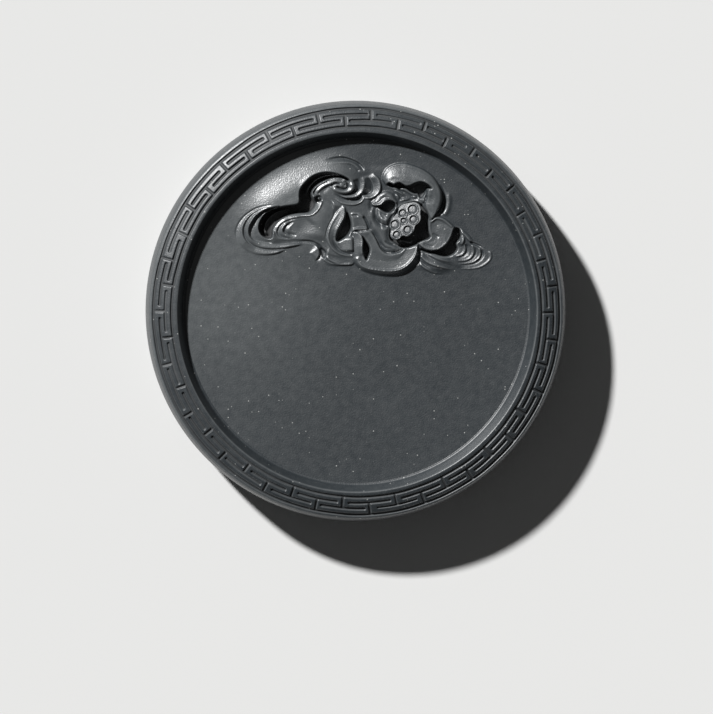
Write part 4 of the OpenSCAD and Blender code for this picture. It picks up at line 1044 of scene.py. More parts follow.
strip(wall_foot, rim_crest, (0, 0.1, 0.5, 0.9, 1), {
    0: (0.2, 0.35, 0.6, 0.8, 0.85),
    0.12: (0, 0.15, 0.6, 1, 1.05),
    0.4: (0, 0.2, 0.85, 1.3, 1.35),
    0.65: (-0.05, 0.2, 1, 1.45, 1.5),
    0.8: (-0.2, 0, 0.7, 1.45, 1.55),
    0.92: (-0.4, -0.2, 0.4, 1.4, 1.5),
    1: (-0.3, -0.2, 0.4, 1.2, 1.35),
}, ends=(0.03, 0.02))
dish_rim = [(1.6, 11.8), (2.4, 11.2), (3.4, 10.9), (4.6, 10.7), (6, 10.6), (7.2, 10.7), (8.3, 11),
    (9.1, 11.6), (9.8, 12.4), (10.2, 13), (10.4, 13.5)]
strip(rim_crest, dish_rim, (0, 0.3, 0.7, 1), {
    0: (0.85, 0.88, 0.92, 0.95),
    0.2: (1.05, 1, 0.95, 0.9),
    0.5: (1.15, 1.05, 0.94, 0.88),
    0.8: (1.28, 1.14, 0.96, 0.88),
    1: (1.25, 1.15, 1.02, 0.95),
}, ends=(0.05, 0.03))
ridge(rim_crest, 0.36, 0.2, ends=(0.1, 0.05))
measure("front petal", rim_crest)

# %% [markdown]
# ## The rolled edge and the veins
# The front petal's left edge rolls over a deep slit. The inner petal slips under the front one along
# a line, and a few soft veins run up it. Veins are shallow grooves that fade out at both ends.

# %% Rolled edge, slit and veins
strip([(-1, 16.95), (-0.65, 16), (-0.7, 14.6), (-0.75, 13), (-0.7, 11.9), (-0.3, 10.9)], [(-0.9, 17.2),
    (0.5, 16.75), (1.15, 15.9), (1.35, 14.8), (1.28, 13.2), (1.75, 11.3)], (0, 0.12, 0.35, 0.85, 1), {
    0: (0.6, 0.6, 0.7, 0.8, 0.75),
    0.2: (0.3, 0.62, 0.82, 1.24, 1.3),
    0.5: (0.3, 0.62, 0.86, 1.4, 1.5),
    0.75: (0.3, 0.6, 0.8, 1.25, 1.35),
    1: (0.35, 0.6, 0.8, 1, 1.05),
}, ends=(0.02, 0.12))
front_slit = [(1.2, 15.9), (1.42, 15), (1.35, 13.8), (1.32, 12.8), (1.55, 11.8), (2.05, 10.9),
    (2.45, 11.7), (2.75, 12.5), (2.8, 13.3), (2.5, 14.1), (2.05, 14.8), (1.65, 15.4)]
level(front_slit, -1.5, soft=0.25)
groove([(-0.9, 16.85), (0.2, 16.95), (0.95, 16.4), (1.35, 15.5)], 0.26, 0.3, ends=(0.1, 0.2))
groove([(2.6, 17.2), (3.6, 16.3), (4.15, 15.4), (4.65, 14.3), (5.1, 13.4), (5.8, 12.75), (6.8, 12.3),
    (7.6, 12.2)], 0.3, 0.5, ends=(0.25, 0.25))
groove([(4.9, 15), (5.4, 14.2), (6.1, 13.6), (7, 13.4), (8, 13.4)], 0.4, 0.16, ends=(0.2, 0.3))
groove([(5.9, 15.1), (6.4, 14.6), (7.2, 14.25), (8.1, 14.1)], 0.36, 0.26, ends=(0.2, 0.2))
groove([(7.2, 12.6), (8.2, 12.55), (9, 12.75), (9.7, 13.3)], 0.36, 0.36, ends=(0.4, 0.05))
measure("slit", front_slit)

# %% [markdown]
# ## The small petal
# Left of the pod a small petal curls round a deep eye. Two rolled bands lie over it, one behind the
# other, and the eye is cut after them, so that it takes a clean bite out of the nearer one.

# %% Small petal and its eye
small_petal = [(3, 23.3), (3.3, 22.6), (4.1, 22.2), (4, 21), (4, 19.9), (4.7, 19), (5.5, 18.5),
    (6.5, 18.2), (7, 19), (7.4, 20.2), (8.1, 20.9), (8.7, 21.6), (8.9, 22.8), (8.5, 24), (7.6, 25.2),
    (6.4, 25.5), (5.2, 25.1), (4, 24.3)]
level(small_petal, 0.85, soft=1.1)
cliff([(4.05, 20.6), (4.2, 19.8), (4.7, 19.1), (5.5, 18.6), (6.5, 18.2)], 1, 0.1, 0.4, 0.4, 0.35,
    ends=(0.25, 0.05))
level([(4.3, 21.9), (4.5, 20.6), (5, 19.8), (5.9, 19.4), (6.6, 19.9), (6.8, 20.9), (6, 21.2),
    (5.2, 21.6)], 0.5, soft=0.9)
eye = [(4, 22.33), (5, 22.42), (5.5, 22.8), (6, 23.25), (6.8, 23.5), (7.5, 23.4), (8.1, 22.95),
    (8.25, 22.3), (8, 21.6), (7.5, 21.1), (6.9, 20.88), (6.2, 20.95), (5.5, 21.3), (4.9, 21.7),
    (4.4, 22.1)]
strip([(3.5, 24.3), (4.3, 24.5), (5, 25), (5.9, 25.4), (7.2, 25.4)], [(3.4, 23.4), (4.2, 23.35),
    (4.8, 23.75), (5.4, 24.3), (6.2, 24.7), (7.4, 24.7)], (0, 0.8, 1), {
    0: (0.4, 0.6, 0.5),
    0.4: (0.5, 0.9, 0.7),
    1: (0.6, 0.8, 0.7),
}, ends=(0.3, 0.3))
strip([(3, 23.3), (4, 23.1), (4.7, 23.4), (5.3, 24), (6.1, 24.4), (7.2, 24.3)], [(3.3, 22.5),
    (4.1, 22.35), (5, 22.55), (5.6, 23.05), (6.3, 23.5), (7.2, 23.6)], (0, 0.15, 0.85, 1), {
    0: (0.4, 0.5, 0.85, 0.8),
    0.35: (0.45, 0.65, 1.2, 1.15),
    0.7: (0.5, 0.7, 1.05, 1),
    1: (0.6, 0.7, 0.85, 0.8),
}, ends=(0.06, 0.2))
level(eye, -1.3, soft=0.25)
ridge([(8.35, 21.7), (7.8, 21), (7.2, 20.4), (6.8, 19.8), (6.55, 19.2)], 0.5, 0.22, ends=(0.2, 0.2))
ridge([(4.9, 18.9), (5.9, 19.1), (6.8, 19.8)], 2.6, 0.3)
groove([(8.5, 23.2), (8.6, 22.4), (8.45, 21.6), (8.2, 20.9)], 0.42, 0.45, ends=(0.2, 0.2))
measure("small petal", small_petal)

# %% [markdown]
# ## The hood and its stamens
# One great petal hoods the pod from above. It rises from the bed to its front edge, where it is
# undercut, and a collar of stamens stands in its shade. A real undercut would need a second skin of
# stone. From above a steep drop to a deep hollow looks the same.

# %% Hood and stamens
hood_back = [(6, 27), (5.45, 27.8), (5.45, 28.8), (5.9, 29.8), (6.7, 30.6), (7.8, 31.15), (9, 31.4),
    (10.4, 31.4), (11.9, 30.95), (13.5, 30.3), (15, 29.4), (16.2, 28.35), (17.1, 27.1), (17.7, 25.9),
    (18, 24.7), (17.95, 23.5), (17.65, 22.3), (17.15, 21.3), (16.7, 20.5), (16, 19.7), (15.3, 19.3)]
hood_front = [(6.6, 26.7), (8, 26.6), (9.5, 26.5), (11, 26.4), (12.5, 26.5), (14, 26.3), (14.9, 25.7),
    (14.9, 24.8), (14.9, 23.9), (14.5, 22.9), (14.6, 22), (15, 21), (15.2, 20), (15.2, 19.3)]
strip(hood_back, hood_front, (0, 0.06, 0.13, 0.2, 0.5, 0.75, 1), {
    0: (0.15, 0.5, 0.48, 0.7, 1.35, 1.65, 1.6),
    0.28: (0.15, 0.5, 0.48, 0.7, 1.4, 1.7, 1.65),
    0.42: (0.25, 0.6, 0.75, 0.95, 1.5, 1.7, 1.65),
    0.58: (0.5, 0.95, 1.2, 1.4, 1.7, 1.75, 1.6),
    0.72: (0.7, 1.3, 1.5, 1.65, 1.65, 1.5, 1.3),
    0.85: (0.7, 1.3, 1.5, 1.6, 1.5, 1.2, 0.9),
    1: (0.5, 0.9, 1.1, 1.15, 1.1, 0.95, 0.8),
}, ends=(0, 0.03))
hood_hollow = [(6.3, 27), (6.8, 27.3), (7.4, 27.1), (7.8, 26.88), (8.4, 27.2), (9, 27.3), (9.6, 27),
    (10.3, 26.65), (11, 26.65), (11.7, 26.9), (12.3, 27.2), (13.3, 27.48), (14.2, 27.3), (15.1, 26.8),
    (15.85, 26.1), (15, 25.9), (14.6, 25.4), (14.45, 24.9), (14.1, 24.3), (13.6, 23.95), (13.2, 24.2),
    (12.9, 24.8), (12.2, 24.9), (11.3, 25.3), (10.6, 25.85), (9.8, 26.1), (9, 26.1), (8, 26.2),
    (7.2, 26.3), (6.7, 26.6)]
stamen_floor = [(7, 26.2), (8.6, 26.2), (9.8, 26.1), (11, 25.6), (12.2, 25), (13.1, 24.7), (13.2, 24),
    (12.8, 23.3), (11.2, 23.1), (9.9, 23.2), (9, 23.6), (8.3, 24.6), (7.6, 25.4)]
level(stamen_floor, -0.2, soft=0.8)
level(hood_hollow, -1.1, soft=0.3)
# each stamen: its line, its width and height, and the share over which it fades at both ends
stamens = [
    ([(6.7, 26.75), (7.2, 26.6), (7.6, 26.45)], 0.4, 0.8, 0.2),
    ([(9, 26.05), (10.2, 25.75), (11.2, 25.2), (12, 24.8), (12.8, 24.6)], 0.4, 0.3, 0.2),
    ([(7.6, 25.9), (8.6, 25.4), (9.5, 24.9), (10.2, 24.3)], 0.4, 0.4, 0.4),
    ([(8.2, 25), (8.7, 24.3), (8.9, 23.6)], 0.4, 0.35, 0.4),
    ([(9.1, 23.3), (9.8, 23.7), (10.6, 23.75), (11.4, 23.8)], 0.45, 0.6, 0.4),
    ([(11.6, 24.4), (12.3, 24.2), (12.9, 24.3)], 0.4, 0.4, 0.4),
    ([(13.9, 24.2), (14.1, 23.6), (14, 22.9)], 0.6, 0.5, 0.4)]
for line, width, height, fade in stamens:
    ridge(line, width, height, ends=(fade, fade))
groove([(14.7, 24.8), (14.6, 24), (14.4, 23.2)], 0.34, 0.4, ends=(0.4, 0.4))
measure("hood", hood_back)

# %% [markdown]
# ## The moat and the pit
# A moat runs down the right of the hood and parts it from the flat land. The pit under the hood has
# steep walls, since the seed pod will stand in it with a dark gap all round.

# %% Moat and pit
PIT_Z = -1.3
strip([(17.5, 27.3), (18.3, 25.9), (18.8, 24.6), (18.98, 23.3), (18.8, 22), (18.35, 21), (17.6, 20.3)],
    [(17.2, 26.9), (17.75, 25.7), (17.98, 24.6), (17.95, 23.4), (17.65, 22.3), (17.2, 21.4),
    (16.8, 20.7)], (0, 0.1, 0.5, 0.9, 1), {
    0: (0.1, 0.1, 0.1, 0.3, 0.4),
    0.25: (0.1, -0.4, -0.6, 0, 0.6),
    0.7: (0.15, -0.8, -1, -0.3, 0.8),
    1: (0.2, -0.3, -0.4, 0, 0.6),
}, ends=(0.12, 0.04))
ridge([(19.3, 25.6), (19.5, 24.2), (19.5, 22.8), (19.15, 21.4), (18.4, 20.3)], 0.9, 0.2, ends=(0.3, 0.08))

pit = [(13.9, 22.6), (14.4, 21.8), (15, 20.9), (15.2, 20), (15.05, 18.9), (15.1, 17.6), (15.35, 16.4),
    (15.6, 15.75), (15.1, 15.2), (13.9, 14.9), (12.8, 14.5), (12.2, 14), (11.2, 13.6), (10.2, 13.5),
    (9.2, 13.75), (8.2, 14.4), (7.2, 15.2), (6.95, 16.6), (7.6, 19), (9, 22), (12, 23.2), (13.6, 22.8)]
level(pit, PIT_Z, soft=0.25)
ridge([(8.7, 15), (10, 14.9), (11.2, 14.6), (12.4, 14.6)], 0.9, 0.6, ends=(0.3, 0.3))
measure("pit", pit)

# %% [markdown]
# ## The fan of the wave
# Right of the flower a wave breaks. Four bands fan out from it, each rising to its outer edge, and
# the innermost crests the highest. They differ only in their lines, in how deep they start and in
# how high they crest, so one loop carves them all.

# %% Fan of the wave
wave_ground = [(13.4, 12.6), (15, 11), (18, 9.9), (21, 9.2), (24.5, 9.1), (27, 9.9), (28.2, 11.2),
    (27.8, 12.6), (26.2, 13.8), (25, 14.8), (23.8, 16.4), (22.2, 17.2), (20.8, 16), (18, 13)]
level(wave_ground, 0.1, soft=1)
# each band: its inner and outer line, the height at its foot and at its crest
fan = [
    ([(26, 13.2), (26.3, 12.3), (26.1, 11.5), (25.5, 10.9), (24.6, 10.4), (23.2, 10.1), (21.6, 10.1)],
     [(28.4, 12.6), (28.6, 11.6), (28.2, 10.7), (27.3, 9.9), (26, 9.25), (24.2, 8.95),
      (21.8, 8.95)], -0.35, 0.24),
    ([(24.9, 13.9), (25.1, 12.9), (24.9, 12), (24.3, 11.2), (23.4, 10.7), (22.2, 10.5), (20.8, 10.6)],
     [(26, 13.3), (26.3, 12.3), (26.1, 11.5), (25.5, 10.85), (24.6, 10.3), (23.2, 10),
      (21.6, 10)], -0.1, 0.3),
    ([(22.9, 14.3), (23.2, 13.3), (23.1, 12.5), (22.6, 11.9), (21.8, 11.6), (20.8, 11.6)],
     [(24.6, 13.9), (24.8, 12.8), (24.6, 11.9), (24, 11.2), (23, 10.75), (21.6, 10.7)], -0.25, 0.32),
    ([(21.4, 14.7), (21.5, 13.6), (21.3, 12.8), (20.8, 12.2), (20.2, 11.9)],
     [(22.7, 14.6), (23, 13.6), (22.9, 12.7), (22.3, 12), (21.2, 11.65)], -0.05, 0.36)]
for inner_line, outer_line, foot, crest in fan:
    strip(inner_line, outer_line, (0, 0.15, 0.32, 0.76, 0.92, 1), {
        0: (foot, foot, 0, 0.05, 0.7 * crest, 0.6 * crest),
        0.45: (foot, foot, 0, 0.06, crest, 0.9 * crest),
        1: (foot, foot, 0, 0.05, 0.4 * crest, 0.3 * crest),
    }, ends=(0.15, 0.25))
measure("fan", fan[0][0] + fan[3][1])

# %% [markdown]
# ## The crest of the wave
# Above the fan the crest curls over and throws a long wedge of shade to the right. Two short bands
# make the curl, and a third, sunk one makes the wedge.

# %% Crest of the wave
strip([(20.9, 17.9), (21.9, 17.8), (22.9, 17.3), (23.8, 16.5), (24.6, 15.6), (25, 14.9)], [(21.6, 16.8),
    (22.3, 16.4), (22.9, 15.9), (23.4, 15.3), (23.9, 14.8), (24.3, 14.5)], (0, 0.15, 0.3, 0.8, 1), {
    0: (0.1, 0, 0.1, 0.2, 0.1),
    0.3: (0.1, -0.15, 0.1, 0.4, 0.3),
    0.75: (0.1, -0.1, 0.2, 0.55, 0.45),
    1: (0.1, 0, 0.1, 0.3, 0.2),
}, ends=(0.15, 0.1))
strip([(22, 16.1), (22, 15.4), (21.8, 14.7), (21.6, 14)], [(22.9, 15.7), (22.9, 14.9), (22.6, 14.1),
    (22.3, 13.5)], (0, 0.15, 0.6, 1), {
    0: (0, 0.2, 0.5, 0.1),
    0.5: (0.1, 0.4, 0.75, 0.2),
    1: (0.1, 0.3, 0.5, 0.3),
}, ends=(0.3, 0.3))
strip([(23.9, 14.9), (25.2, 14.5), (26.4, 13.9), (27.4, 13.2)], [(24.2, 14.3), (25.2, 13.9), (26.2, 13.4),
    (27, 12.8)], (0, 0.3, 1), {
    0: (0.1, -0.5, -0.3),
    0.5: (0.1, -0.4, -0.2),
    1: (0, -0.1, 0),
}, ends=(0.1, 0.5))
measure("crest of the wave", [(21.6, 14.5), (25, 17.9)])

# %% [markdown]
# ## The tails and the hollow of the wave
# Three tails run out under the right petal, each a lobe with its crest below. The hollow between the
# petal and the fan is cut after them, deep and steep, and leaves them as if they came out of it.

# %% Tails and hollow
# each tail: its upper and lower line, and the height of its crest
tails = [
    ([(13.4, 10.9), (14.4, 10.1), (15.8, 9.4), (17.4, 8.95), (19, 8.7)],
     [(13.5, 9.8), (14.6, 8.9), (16, 8.2), (17.6, 7.95), (19.2, 8.1)], 0.34),
    ([(14.2, 12.9), (15.2, 12), (16.5, 11.2), (18, 10.5), (19.6, 10), (21.2, 9.7)],
     [(13.4, 11.6), (14.4, 10.6), (15.8, 9.8), (17.5, 9.3), (19.3, 8.9), (21.2, 8.75)], 0.5),
    ([(15.6, 12.5), (17, 12), (18.4, 11.5), (19.8, 11.3), (21, 11.2)],
     [(15.2, 12.1), (16.6, 11.3), (18.2, 10.7), (20, 10.35), (21.6, 10.3)], 0.36)]
for upper_line, lower_line, crest in tails:
    strip(upper_line, lower_line, (0, 0.15, 0.85, 1), {
        0: (0.1, -0.05, crest, 0.7 * crest),
        0.5: (0.05, -0.05, crest, 0.6 * crest),
        1: (0.05, 0, 0.3 * crest, 0.1),
    }, ends=(0.05, 0.35))
ridge([(17.6, 12.2), (16.9, 10.4), (16.6, 8.2)], 5, 0.5, ends=(0.1, 0.25))
wave_hollow = [(20.55, 17.4), (21.1, 17.75), (21.8, 17.4), (22.1, 16.7), (22.1, 16), (21.8, 15.3),
    (21.4, 14.8), (21.1, 14.3), (21.4, 13.5), (21.2, 12.8), (20.6, 12.2), (19.6, 11.7), (18.6, 11.6),
    (17.5, 11.8), (16.5, 12.15), (15, 12.4), (13.8, 12.9), (13.5, 13.3), (15, 13), (17, 13), (18, 13.5),
    (18.9, 14.3), (19.6, 15.3), (20.1, 16.4)]
level(wave_hollow, -1.5, soft=0.3)
measure("hollow of the wave", wave_hollow)

# %% [markdown]
# ## The right petal
# A dished petal closes the flower on the right. It is one band from the line against the pit to its
# free edge, hollowed near the pit and raised towards the edge, with a thin ridge along its top.

# %% Right petal
petal_back = [(13, 14.6), (14.2, 15.1), (15.1, 15.35), (15.6, 15.9), (15.35, 16.6), (15.2, 17.8),
    (15.3, 19.1), (15.9, 19.35), (16.5, 19.9), (17.3, 20), (18.4, 19.65), (19.4, 18.95), (20.2, 18.2),
    (20.6, 17.9)]
petal_edge = [(12.9, 14.5), (13.7, 13.7), (14.7, 13.15), (15.8, 12.9), (16.9, 13), (17.9, 13.4),
    (18.8, 14.1), (19.5, 15), (20, 16), (20.3, 17), (20.6, 17.8)]
strip(petal_back, petal_edge, (0, 0.12, 0.3, 0.85, 1), {
    0: (0.9, 0.85, 0.85, 1, 1.1),
    0.4: (0.95, 0.75, 0.75, 1.1, 1.3),
    0.7: (1, 0.8, 0.75, 1.1, 1.3),
    1: (1, 0.9, 0.9, 1, 1.1),
}, ends=(0, 0))
ridge([(15.5, 18.8), (16.2, 19.45), (17, 19.7), (18.2, 19.4), (19.3, 18.65), (20.3, 17.85)], 0.45, 0.3,
    ends=(0.1, 0.05))
groove([(16, 16.6), (16.6, 16.15), (17.4, 15.7)], 0.5, 0.2)
groove([(14, 14.5), (15, 14), (16.4, 13.8)], 0.4, 0.12)
measure("right petal", petal_back + petal_edge)

# %% [markdown]
# ## Rubbed down, and marked
# The heights are rubbed down once, as the last polishing does. Two marks are then worked out from
# the heights themselves: where the surface bulges it gets rubbed pale, and where it lies deep it is
# painted dark as shade. Marks painted by hand would have to be painted again after every change.

# %% Marks of wear and shade
BULGE_FULL = 0.09
DARK_FROM, DARK_RUN = 0.55, 0.9
relief = settle(relief, 3)
fine = settle(relief, 2)
broad = settle(relief, 14)
bulge = np.clip((fine - broad) / BULGE_FULL, 0, 1)
# painted shade: the deeper a place lies, the darker its colour is painted
painted_shade = ease((-relief - DARK_FROM) / DARK_RUN)
print("worn:", round(float(np.mean(bulge > 0.5)), 3), "and dark:", round(float(np.mean(painted_shade > 0.5)), 3))

# %% [markdown]
# ## One grid for bed and relief
# The relief and the flat bed round it become one piece, on a grid that is fine under the relief and
# coarse on the flat. The left of the bed and the land over the channel are painted paler, as a
# painted glow of light, and the high parts of the carving are made paler as well. All of these go
# into the same mark as the wear, a little.

# %% Grid, painted glow and paler high parts
# each patch of painted glow: its strength, its middle, and how far it spreads
PAINTED_GLOW_PATCHES = ((0.95, -30, 8, 22, 24), (1.3, -13, 28.5, 7, 6))
HIGH_PALING = 0.4
flat_left = np.arange(-36.4, GRID_X[0] - 0.2, 0.4)
flat_right = np.arange(GRID_X[-1] + 0.3, 36.5, 0.3)
flat_below = np.arange(-36.4, GRID_Y[0] - 0.3, 0.6)
flat_above = np.arange(GRID_Y[-1] + 0.2, 36.6, 0.2)
bed_x = np.concatenate([flat_left, GRID_X, flat_right])
bed_y = np.concatenate([flat_below, GRID_Y, flat_above])
pads = ((len(flat_below), len(flat_above)), (len(flat_left), len(flat_right)))
grid_x, grid_y = np.meshgrid(bed_x, bed_y)
grid_z = BED_Z + np.pad(relief, pads)
glow_and_high_paling = np.zeros_like(grid_z)
# painted light: two broad patches brighten the colour at the bed's left and over the channel's land
for strength, x, y, wide, tall in PAINTED_GLOW_PATCHES:
    glow_and_high_paling += strength * np.exp(-((grid_x - x) / wide) ** 2 - ((grid_y - y) / tall) ** 2)
# the high parts of the carving are made paler
glow_and_high_paling += HIGH_PALING * ease((grid_z - BED_Z - 0.2) / 0.6)
grid_wear_and_glow = np.clip(np.pad(bulge, pads) + glow_and_high_paling * (grid_z > BED_Z - 0.3), 0, 1)
grid_painted_shade = np.pad(painted_shade, pads)
print("grid of the bed:", grid_z.shape)

# %% [markdown]
# ## From heights to stone
# A square of the grid becomes a face if one of its corners lies on the bed, and the corners beyond
# are pulled onto the bed's circle. A square plate could be cut round with a modifier, but the cut
# would leave slivers along the border.

# %% The carved bed
radius = np.hypot(grid_x, grid_y)
inner = radius < BED_R - 0.02
quad_in = inner[:-1, :-1] | inner[1:, :-1] | inner[:-1, 1:] | inner[1:, 1:]
column_count = len(bed_x)
row, col = np.nonzero(quad_in)
corner = row * column_count + col
quads = np.stack([corner, corner + 1, corner + column_count + 1, corner + column_count], axis=1)
pull = np.where(inner, 1.0, BED_R / np.maximum(radius, 1e-6))
points = np.stack([grid_x * pull, grid_y * pull, grid_z], axis=-1).reshape(-1, 3)
used, quads = np.unique(quads, return_inverse=True)
quads = quads.reshape(-1, 4)
other_nodes = ("stone_body", "rim", "fret_band", "seed_pod", "pod_seeds")
bed_nodes = [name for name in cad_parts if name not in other_nodes]
carved_bed = make_piece("carved_bed", points[used], quads.tolist(), carved_slate, bed_nodes,
                        {"worn": grid_wear_and_glow.ravel()[used], "hollow": grid_painted_shade.ravel()[used]})
print("relief from", round(relief.min(), 2), "to", round(relief.max(), 2), "mm over the bed")

# %% [markdown]
# ## The skirt under the bed
# A surface alone is no solid. The bed's border is drawn down to the joint with the drum, and the
# opening below is closed with one flat face.

# %% Close the bed below
import bmesh

solid = bmesh.new()
solid.from_mesh(carved_bed.data)
border = [edge for edge in solid.edges if edge.is_boundary]
for edge in border:
    edge.smooth = False
drawn = bmesh.ops.extrude_edge_only(solid, edges=border)["geom"]
lower = [item for item in drawn if isinstance(item, bmesh.types.BMVert)]
for point in lower:
    point.co.z = JOINT_Z * MM
lower_set = set(lower)
lower_edges = [item for item in drawn if isinstance(item, bmesh.types.BMEdge)
               and item.verts[0] in lower_set and item.verts[1] in lower_set]
bmesh.ops.contextual_create(solid, geom=lower_edges)
bmesh.ops.recalc_face_normals(solid, faces=solid.faces)
solid.to_mesh(carved_bed.data)
solid.free()
print("carved bed closed with", len(lower), "points round its foot")

# %% [markdown]
# ## The seed pod
# A lotus pod stands in a pit between the petals, a cone cut off aslant. Its face leans towards the
# upper left and holds seven sockets. It is carved in the round and not as a height, because its wall
# draws in below the face. Its outline, its slope and the places of its sockets come first.

# %% Outline, sockets and wall
POD_C = (10.3, 19.2)
POD_H = 1.9
POD_FLOOR = -1.2
POD_SLOPE = (0.178, -0.182)
SOCKET_DEPTH = 0.45
pod_outline = [(7.4, 15.5), (8.3, 15.2), (9.1, 15.7), (9.7, 16.1), (10.6, 15.95), (11.4, 16.4),
               (12.0, 17.2), (12.3, 18.2), (13.1, 18.9), (13.5, 19.8), (13.4, 20.8), (13.5, 21.9),
               (13.1, 22.8), (12.1, 23.2), (10.9, 23.0), (9.7, 22.7), (8.9, 22.0), (8.6, 21.0),
               (7.9, 20.2), (7.2, 19.3), (6.95, 18.2), (7.15, 17.2), (7.0, 16.3)]
# the middle and the radius of each socket
sockets = [(11.75, 21.65, 0.98), (9.65, 20.85, 0.82), (11.9, 19.6, 0.8), (9.85, 19.3, 0.62),
           (8.0, 18.45, 0.92), (10.65, 17.4, 0.84), (8.35, 16.35, 0.74)]
# the wall as shares of the outline and drops below the face; the first row stands on the floor
POD_WALL = ((0.86, None), (0.93, 1.6), (0.97, 0.75), (1.0, 0.34), (1.0, 0.14), (0.985, 0.04))
FACE_ROWS = 92


def pod_face_height(x, y):
    return POD_H + POD_SLOPE[0] * (x - POD_C[0]) + POD_SLOPE[1] * (y - POD_C[1])


face_heights = [pod_face_height(x, y) for x, y in pod_outline]
print("pod face from", round(min(face_heights), 2), "to", round(max(face_heights), 2), "mm over the bed")

# %% [markdown]
# ## The pod, ring by ring
# Rings shrink from the pod's outline to its middle, and every point of the face is sunk by the
# socket that it lies in. Seven cylinders could be cut out with a modifier, but their edges would be
# sharp all round. Here each socket keeps a soft raised lip, which is marked as worn.

# %% The pod, ring by ring
pod_line = through(pod_outline, 0.08, closed=True)
around = len(pod_line)
from_middle = pod_line - np.array(POD_C)
pod_rows = []
pod_marks = []
for share, drop in POD_WALL:
    ring = np.array(POD_C) + from_middle * share
    face = pod_face_height(ring[:, 0], ring[:, 1])
    z = np.full(around, POD_FLOOR) if drop is None else face - drop
    pod_rows.append(np.column_stack([ring, BED_Z + z]))
    pod_marks.append(np.full(around, 0.8 if share >= 0.98 and drop < 0.3 else 0.0))
for share in np.linspace(0.96, 0.004, FACE_ROWS):
    ring = np.array(POD_C) + from_middle * share
    x, y = ring[:, 0], ring[:, 1]
    z = pod_face_height(x, y)
    in_socket = np.zeros(around)
    lip = np.zeros(around)
    for sx, sy, sr in sockets:
        gap = np.hypot(x - sx, y - sy)
        in_socket = np.maximum(in_socket, ease((sr + 0.02 - gap) / 0.16))
        lip += np.exp(-((gap - sr - 0.12) / 0.13) ** 2)
    z += 0.1 * np.clip(lip, 0, 1) - SOCKET_DEPTH * in_socket
    pod_rows.append(np.column_stack([ring, BED_Z + z]))
    pod_marks.append(np.clip(0.7 * lip, 0, 1) * (1 - in_socket))
pod_points = np.stack(pod_rows)
pod_worn = np.stack(pod_marks)
pod_quads = ring_quads(len(pod_rows), around)
make_piece("lotus_pod", pod_points.reshape(-1, 3), pod_quads, carved_slate, ["seed_pod"],
           {"worn": pod_worn, "hollow": np.zeros(pod_worn.shape)})

# %% [markdown]
# ## Seven seeds
# Each seed is a low dome left standing in its socket. It is a little out of round, since it was cut
# by eye, and a thin gap round it holds the shade that draws the socket as a dark ring.

# %% The seeds
seed_points = []
seed_quads = []
SEED_ROWS = 14
SEED_COLUMNS = 48
SEED_GAP = 0.13
SEED_RISE = 0.12
SEED_SINK = 0.04
SEED_WORN = 0.15
for sx, sy, sr in sockets:
    turn = np.arange(SEED_COLUMNS) * 2 * math.pi / SEED_COLUMNS
    wobble = 1 + carver.normal(0, 0.03) * np.cos(2 * turn + carver.uniform(0, 6))
    wobble += 0.02 * np.cos(3 * turn + carver.uniform(0, 6))
    base = (sr - SEED_GAP) * wobble
    for k in range(SEED_ROWS):
        lean = math.pi / 2 * k / (SEED_ROWS - 1)
        out = base * max(math.cos(lean), 0.0) ** 0.6 + 0.004
        x = sx + out * np.cos(turn)
        y = sy + out * np.sin(turn)
        rise = SEED_RISE * math.sin(lean) - SEED_SINK
        z = BED_Z + pod_face_height(x, y) - SOCKET_DEPTH + rise
        start = len(seed_points) * SEED_COLUMNS
        if k:
            here = start - SEED_COLUMNS + np.arange(SEED_COLUMNS)
            after = start - SEED_COLUMNS + (np.arange(SEED_COLUMNS) + 1) % SEED_COLUMNS
            seed_quads += np.stack([here, after, after + SEED_COLUMNS,
                                    here + SEED_COLUMNS], axis=1).tolist()
        seed_points.append(np.column_stack([x, y, z]))
seed_all = np.concatenate(seed_points)
seed_worn = np.tile(np.repeat(np.linspace(0, 1, SEED_ROWS) ** 2 * SEED_WORN, SEED_COLUMNS), len(sockets))
make_piece("lotus_seeds", seed_all, seed_quads, carved_slate, ["pod_seeds"],
           {"worn": seed_worn, "hollow": np.zeros(len(seed_all))})

# %% [markdown]
# ## The floor
# The dark stone lies on a pale plain table, so that its outline reads clearly. A matt sheet is
# enough, since nothing of the table is the subject.

# %% Floor
FLOOR_HALF = 3.0
floor_mesh = bpy.data.meshes.new("floor")
floor_corners = [(x * FLOOR_HALF, y * FLOOR_HALF, 0) for x, y in ((-1, -1), (1, -1), (1, 1), (-1, 1))]
floor_mesh.from_pydata(floor_corners, [], [(0, 1, 2, 3)])
floor = bpy.data.objects.new("floor", floor_mesh)
bpy.context.scene.collection.objects.link(floor)
paper = Finish("paper")
paper.shader.inputs["Base Color"].default_value = (0.8, 0.8, 0.79, 1)
paper.shader.inputs["Roughness"].default_value = 0.9
floor_mesh.materials.append(paper.material)
floor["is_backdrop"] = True
print("floor laid")

# %% [markdown]
# ## The light
# One main light stands low at the upper left, as in the photograph. It could be turned into a big
# soft box, but then the black lines under the crests would fill with grey. A small share of light
# from all round keeps the shaded walls readable.

# %% Light
LIGHT_AZIMUTH = math.radians(132)
LIGHT_ELEVATION = math.radians(42)
LIGHT_SPREAD = math.radians(3.5)
LIGHT_STRENGTH = 4.5
ROOM_STRENGTH = 0.045


def towards(azimuth, elevation):
    flat = math.cos(elevation)
    return Vector((flat * math.cos(azimuth), flat * math.sin(azimuth), math.sin(elevation)))


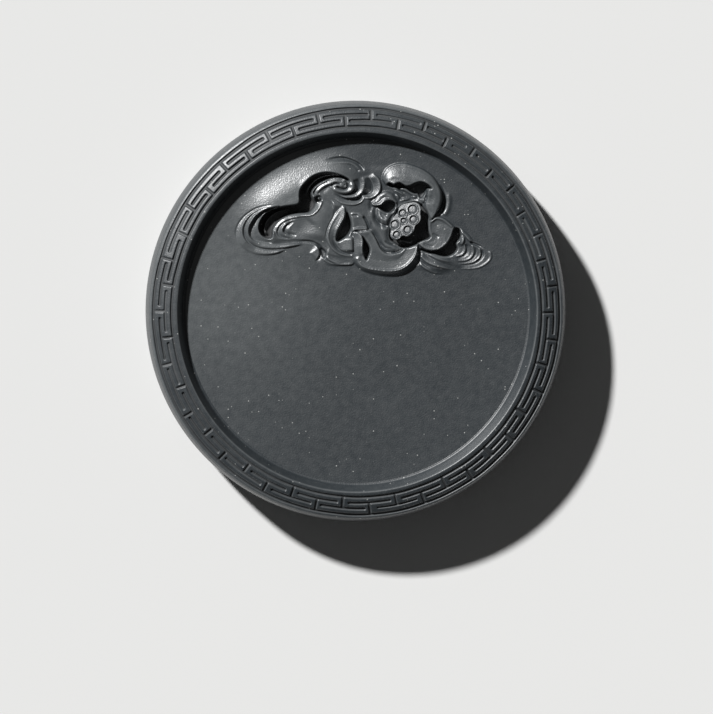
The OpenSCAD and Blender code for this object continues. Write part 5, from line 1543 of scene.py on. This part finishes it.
sun = bpy.data.lights.new("key", "SUN")
sun.energy = LIGHT_STRENGTH
sun.angle = LIGHT_SPREAD
key = bpy.data.objects.new("key", sun)
key.rotation_euler = towards(LIGHT_AZIMUTH, LIGHT_ELEVATION).to_track_quat("Z", "Y").to_euler()
bpy.context.scene.collection.objects.link(key)

world = bpy.data.worlds.new("room")
bpy.context.scene.world = world
world.use_nodes = True
room = world.node_tree.nodes["Background"]
room.inputs["Color"].default_value = (1, 1, 1, 1)
room.inputs["Strength"].default_value = ROOM_STRENGTH
print("key light", round(math.degrees(LIGHT_ELEVATION)), "degrees above the table")

# %% [markdown]
# ## The camera
# The photograph was taken from almost straight above with a long lens. The lens follows from the
# distance and from the width that the picture covers, 0.212 mm for each pixel.

# %% Camera
PHOTO_PIXELS = 714
PIXEL = 0.212
SENSOR = 36
AIM = Vector((0.21, -9.83, 8.75)) * MM
DISTANCE = 2.0
CAMERA_TILT = math.radians(3.3)
CAMERA_SIDE = math.radians(135)
away = towards(CAMERA_SIDE, math.pi / 2 - CAMERA_TILT)
camera_data = bpy.data.cameras.new("camera")
camera = bpy.data.objects.new("camera", camera_data)
camera_data.sensor_width = SENSOR
camera_data.lens = SENSOR * DISTANCE / (PHOTO_PIXELS * PIXEL * MM)
right = Vector((0, 1, 0)).cross(away).normalized()
camera_turn = Matrix((right, away.cross(right), away)).transposed()
camera.location = AIM + away * DISTANCE
camera.rotation_euler = camera_turn.to_euler()
bpy.context.scene.collection.objects.link(camera)
bpy.context.scene.camera = camera
bpy.context.scene.view_settings.view_transform = "Standard"
print("lens", round(camera_data.lens), "mm at", DISTANCE, "m")

# %% [markdown]
# ## Sizes at the end
# The box round the finished stone has to be the box of the solid model. Both are printed.

# %% Print both boxes and finish
def plain(box):
    if isinstance(box, dict):
        return {name: plain(value) for name, value in box.items()}
    if hasattr(box, "__len__"):
        return [plain(value) for value in box]
    return float(box)


sizes = {"cad": plain(cad_box), "finished": plain(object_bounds())}
print(sizes)
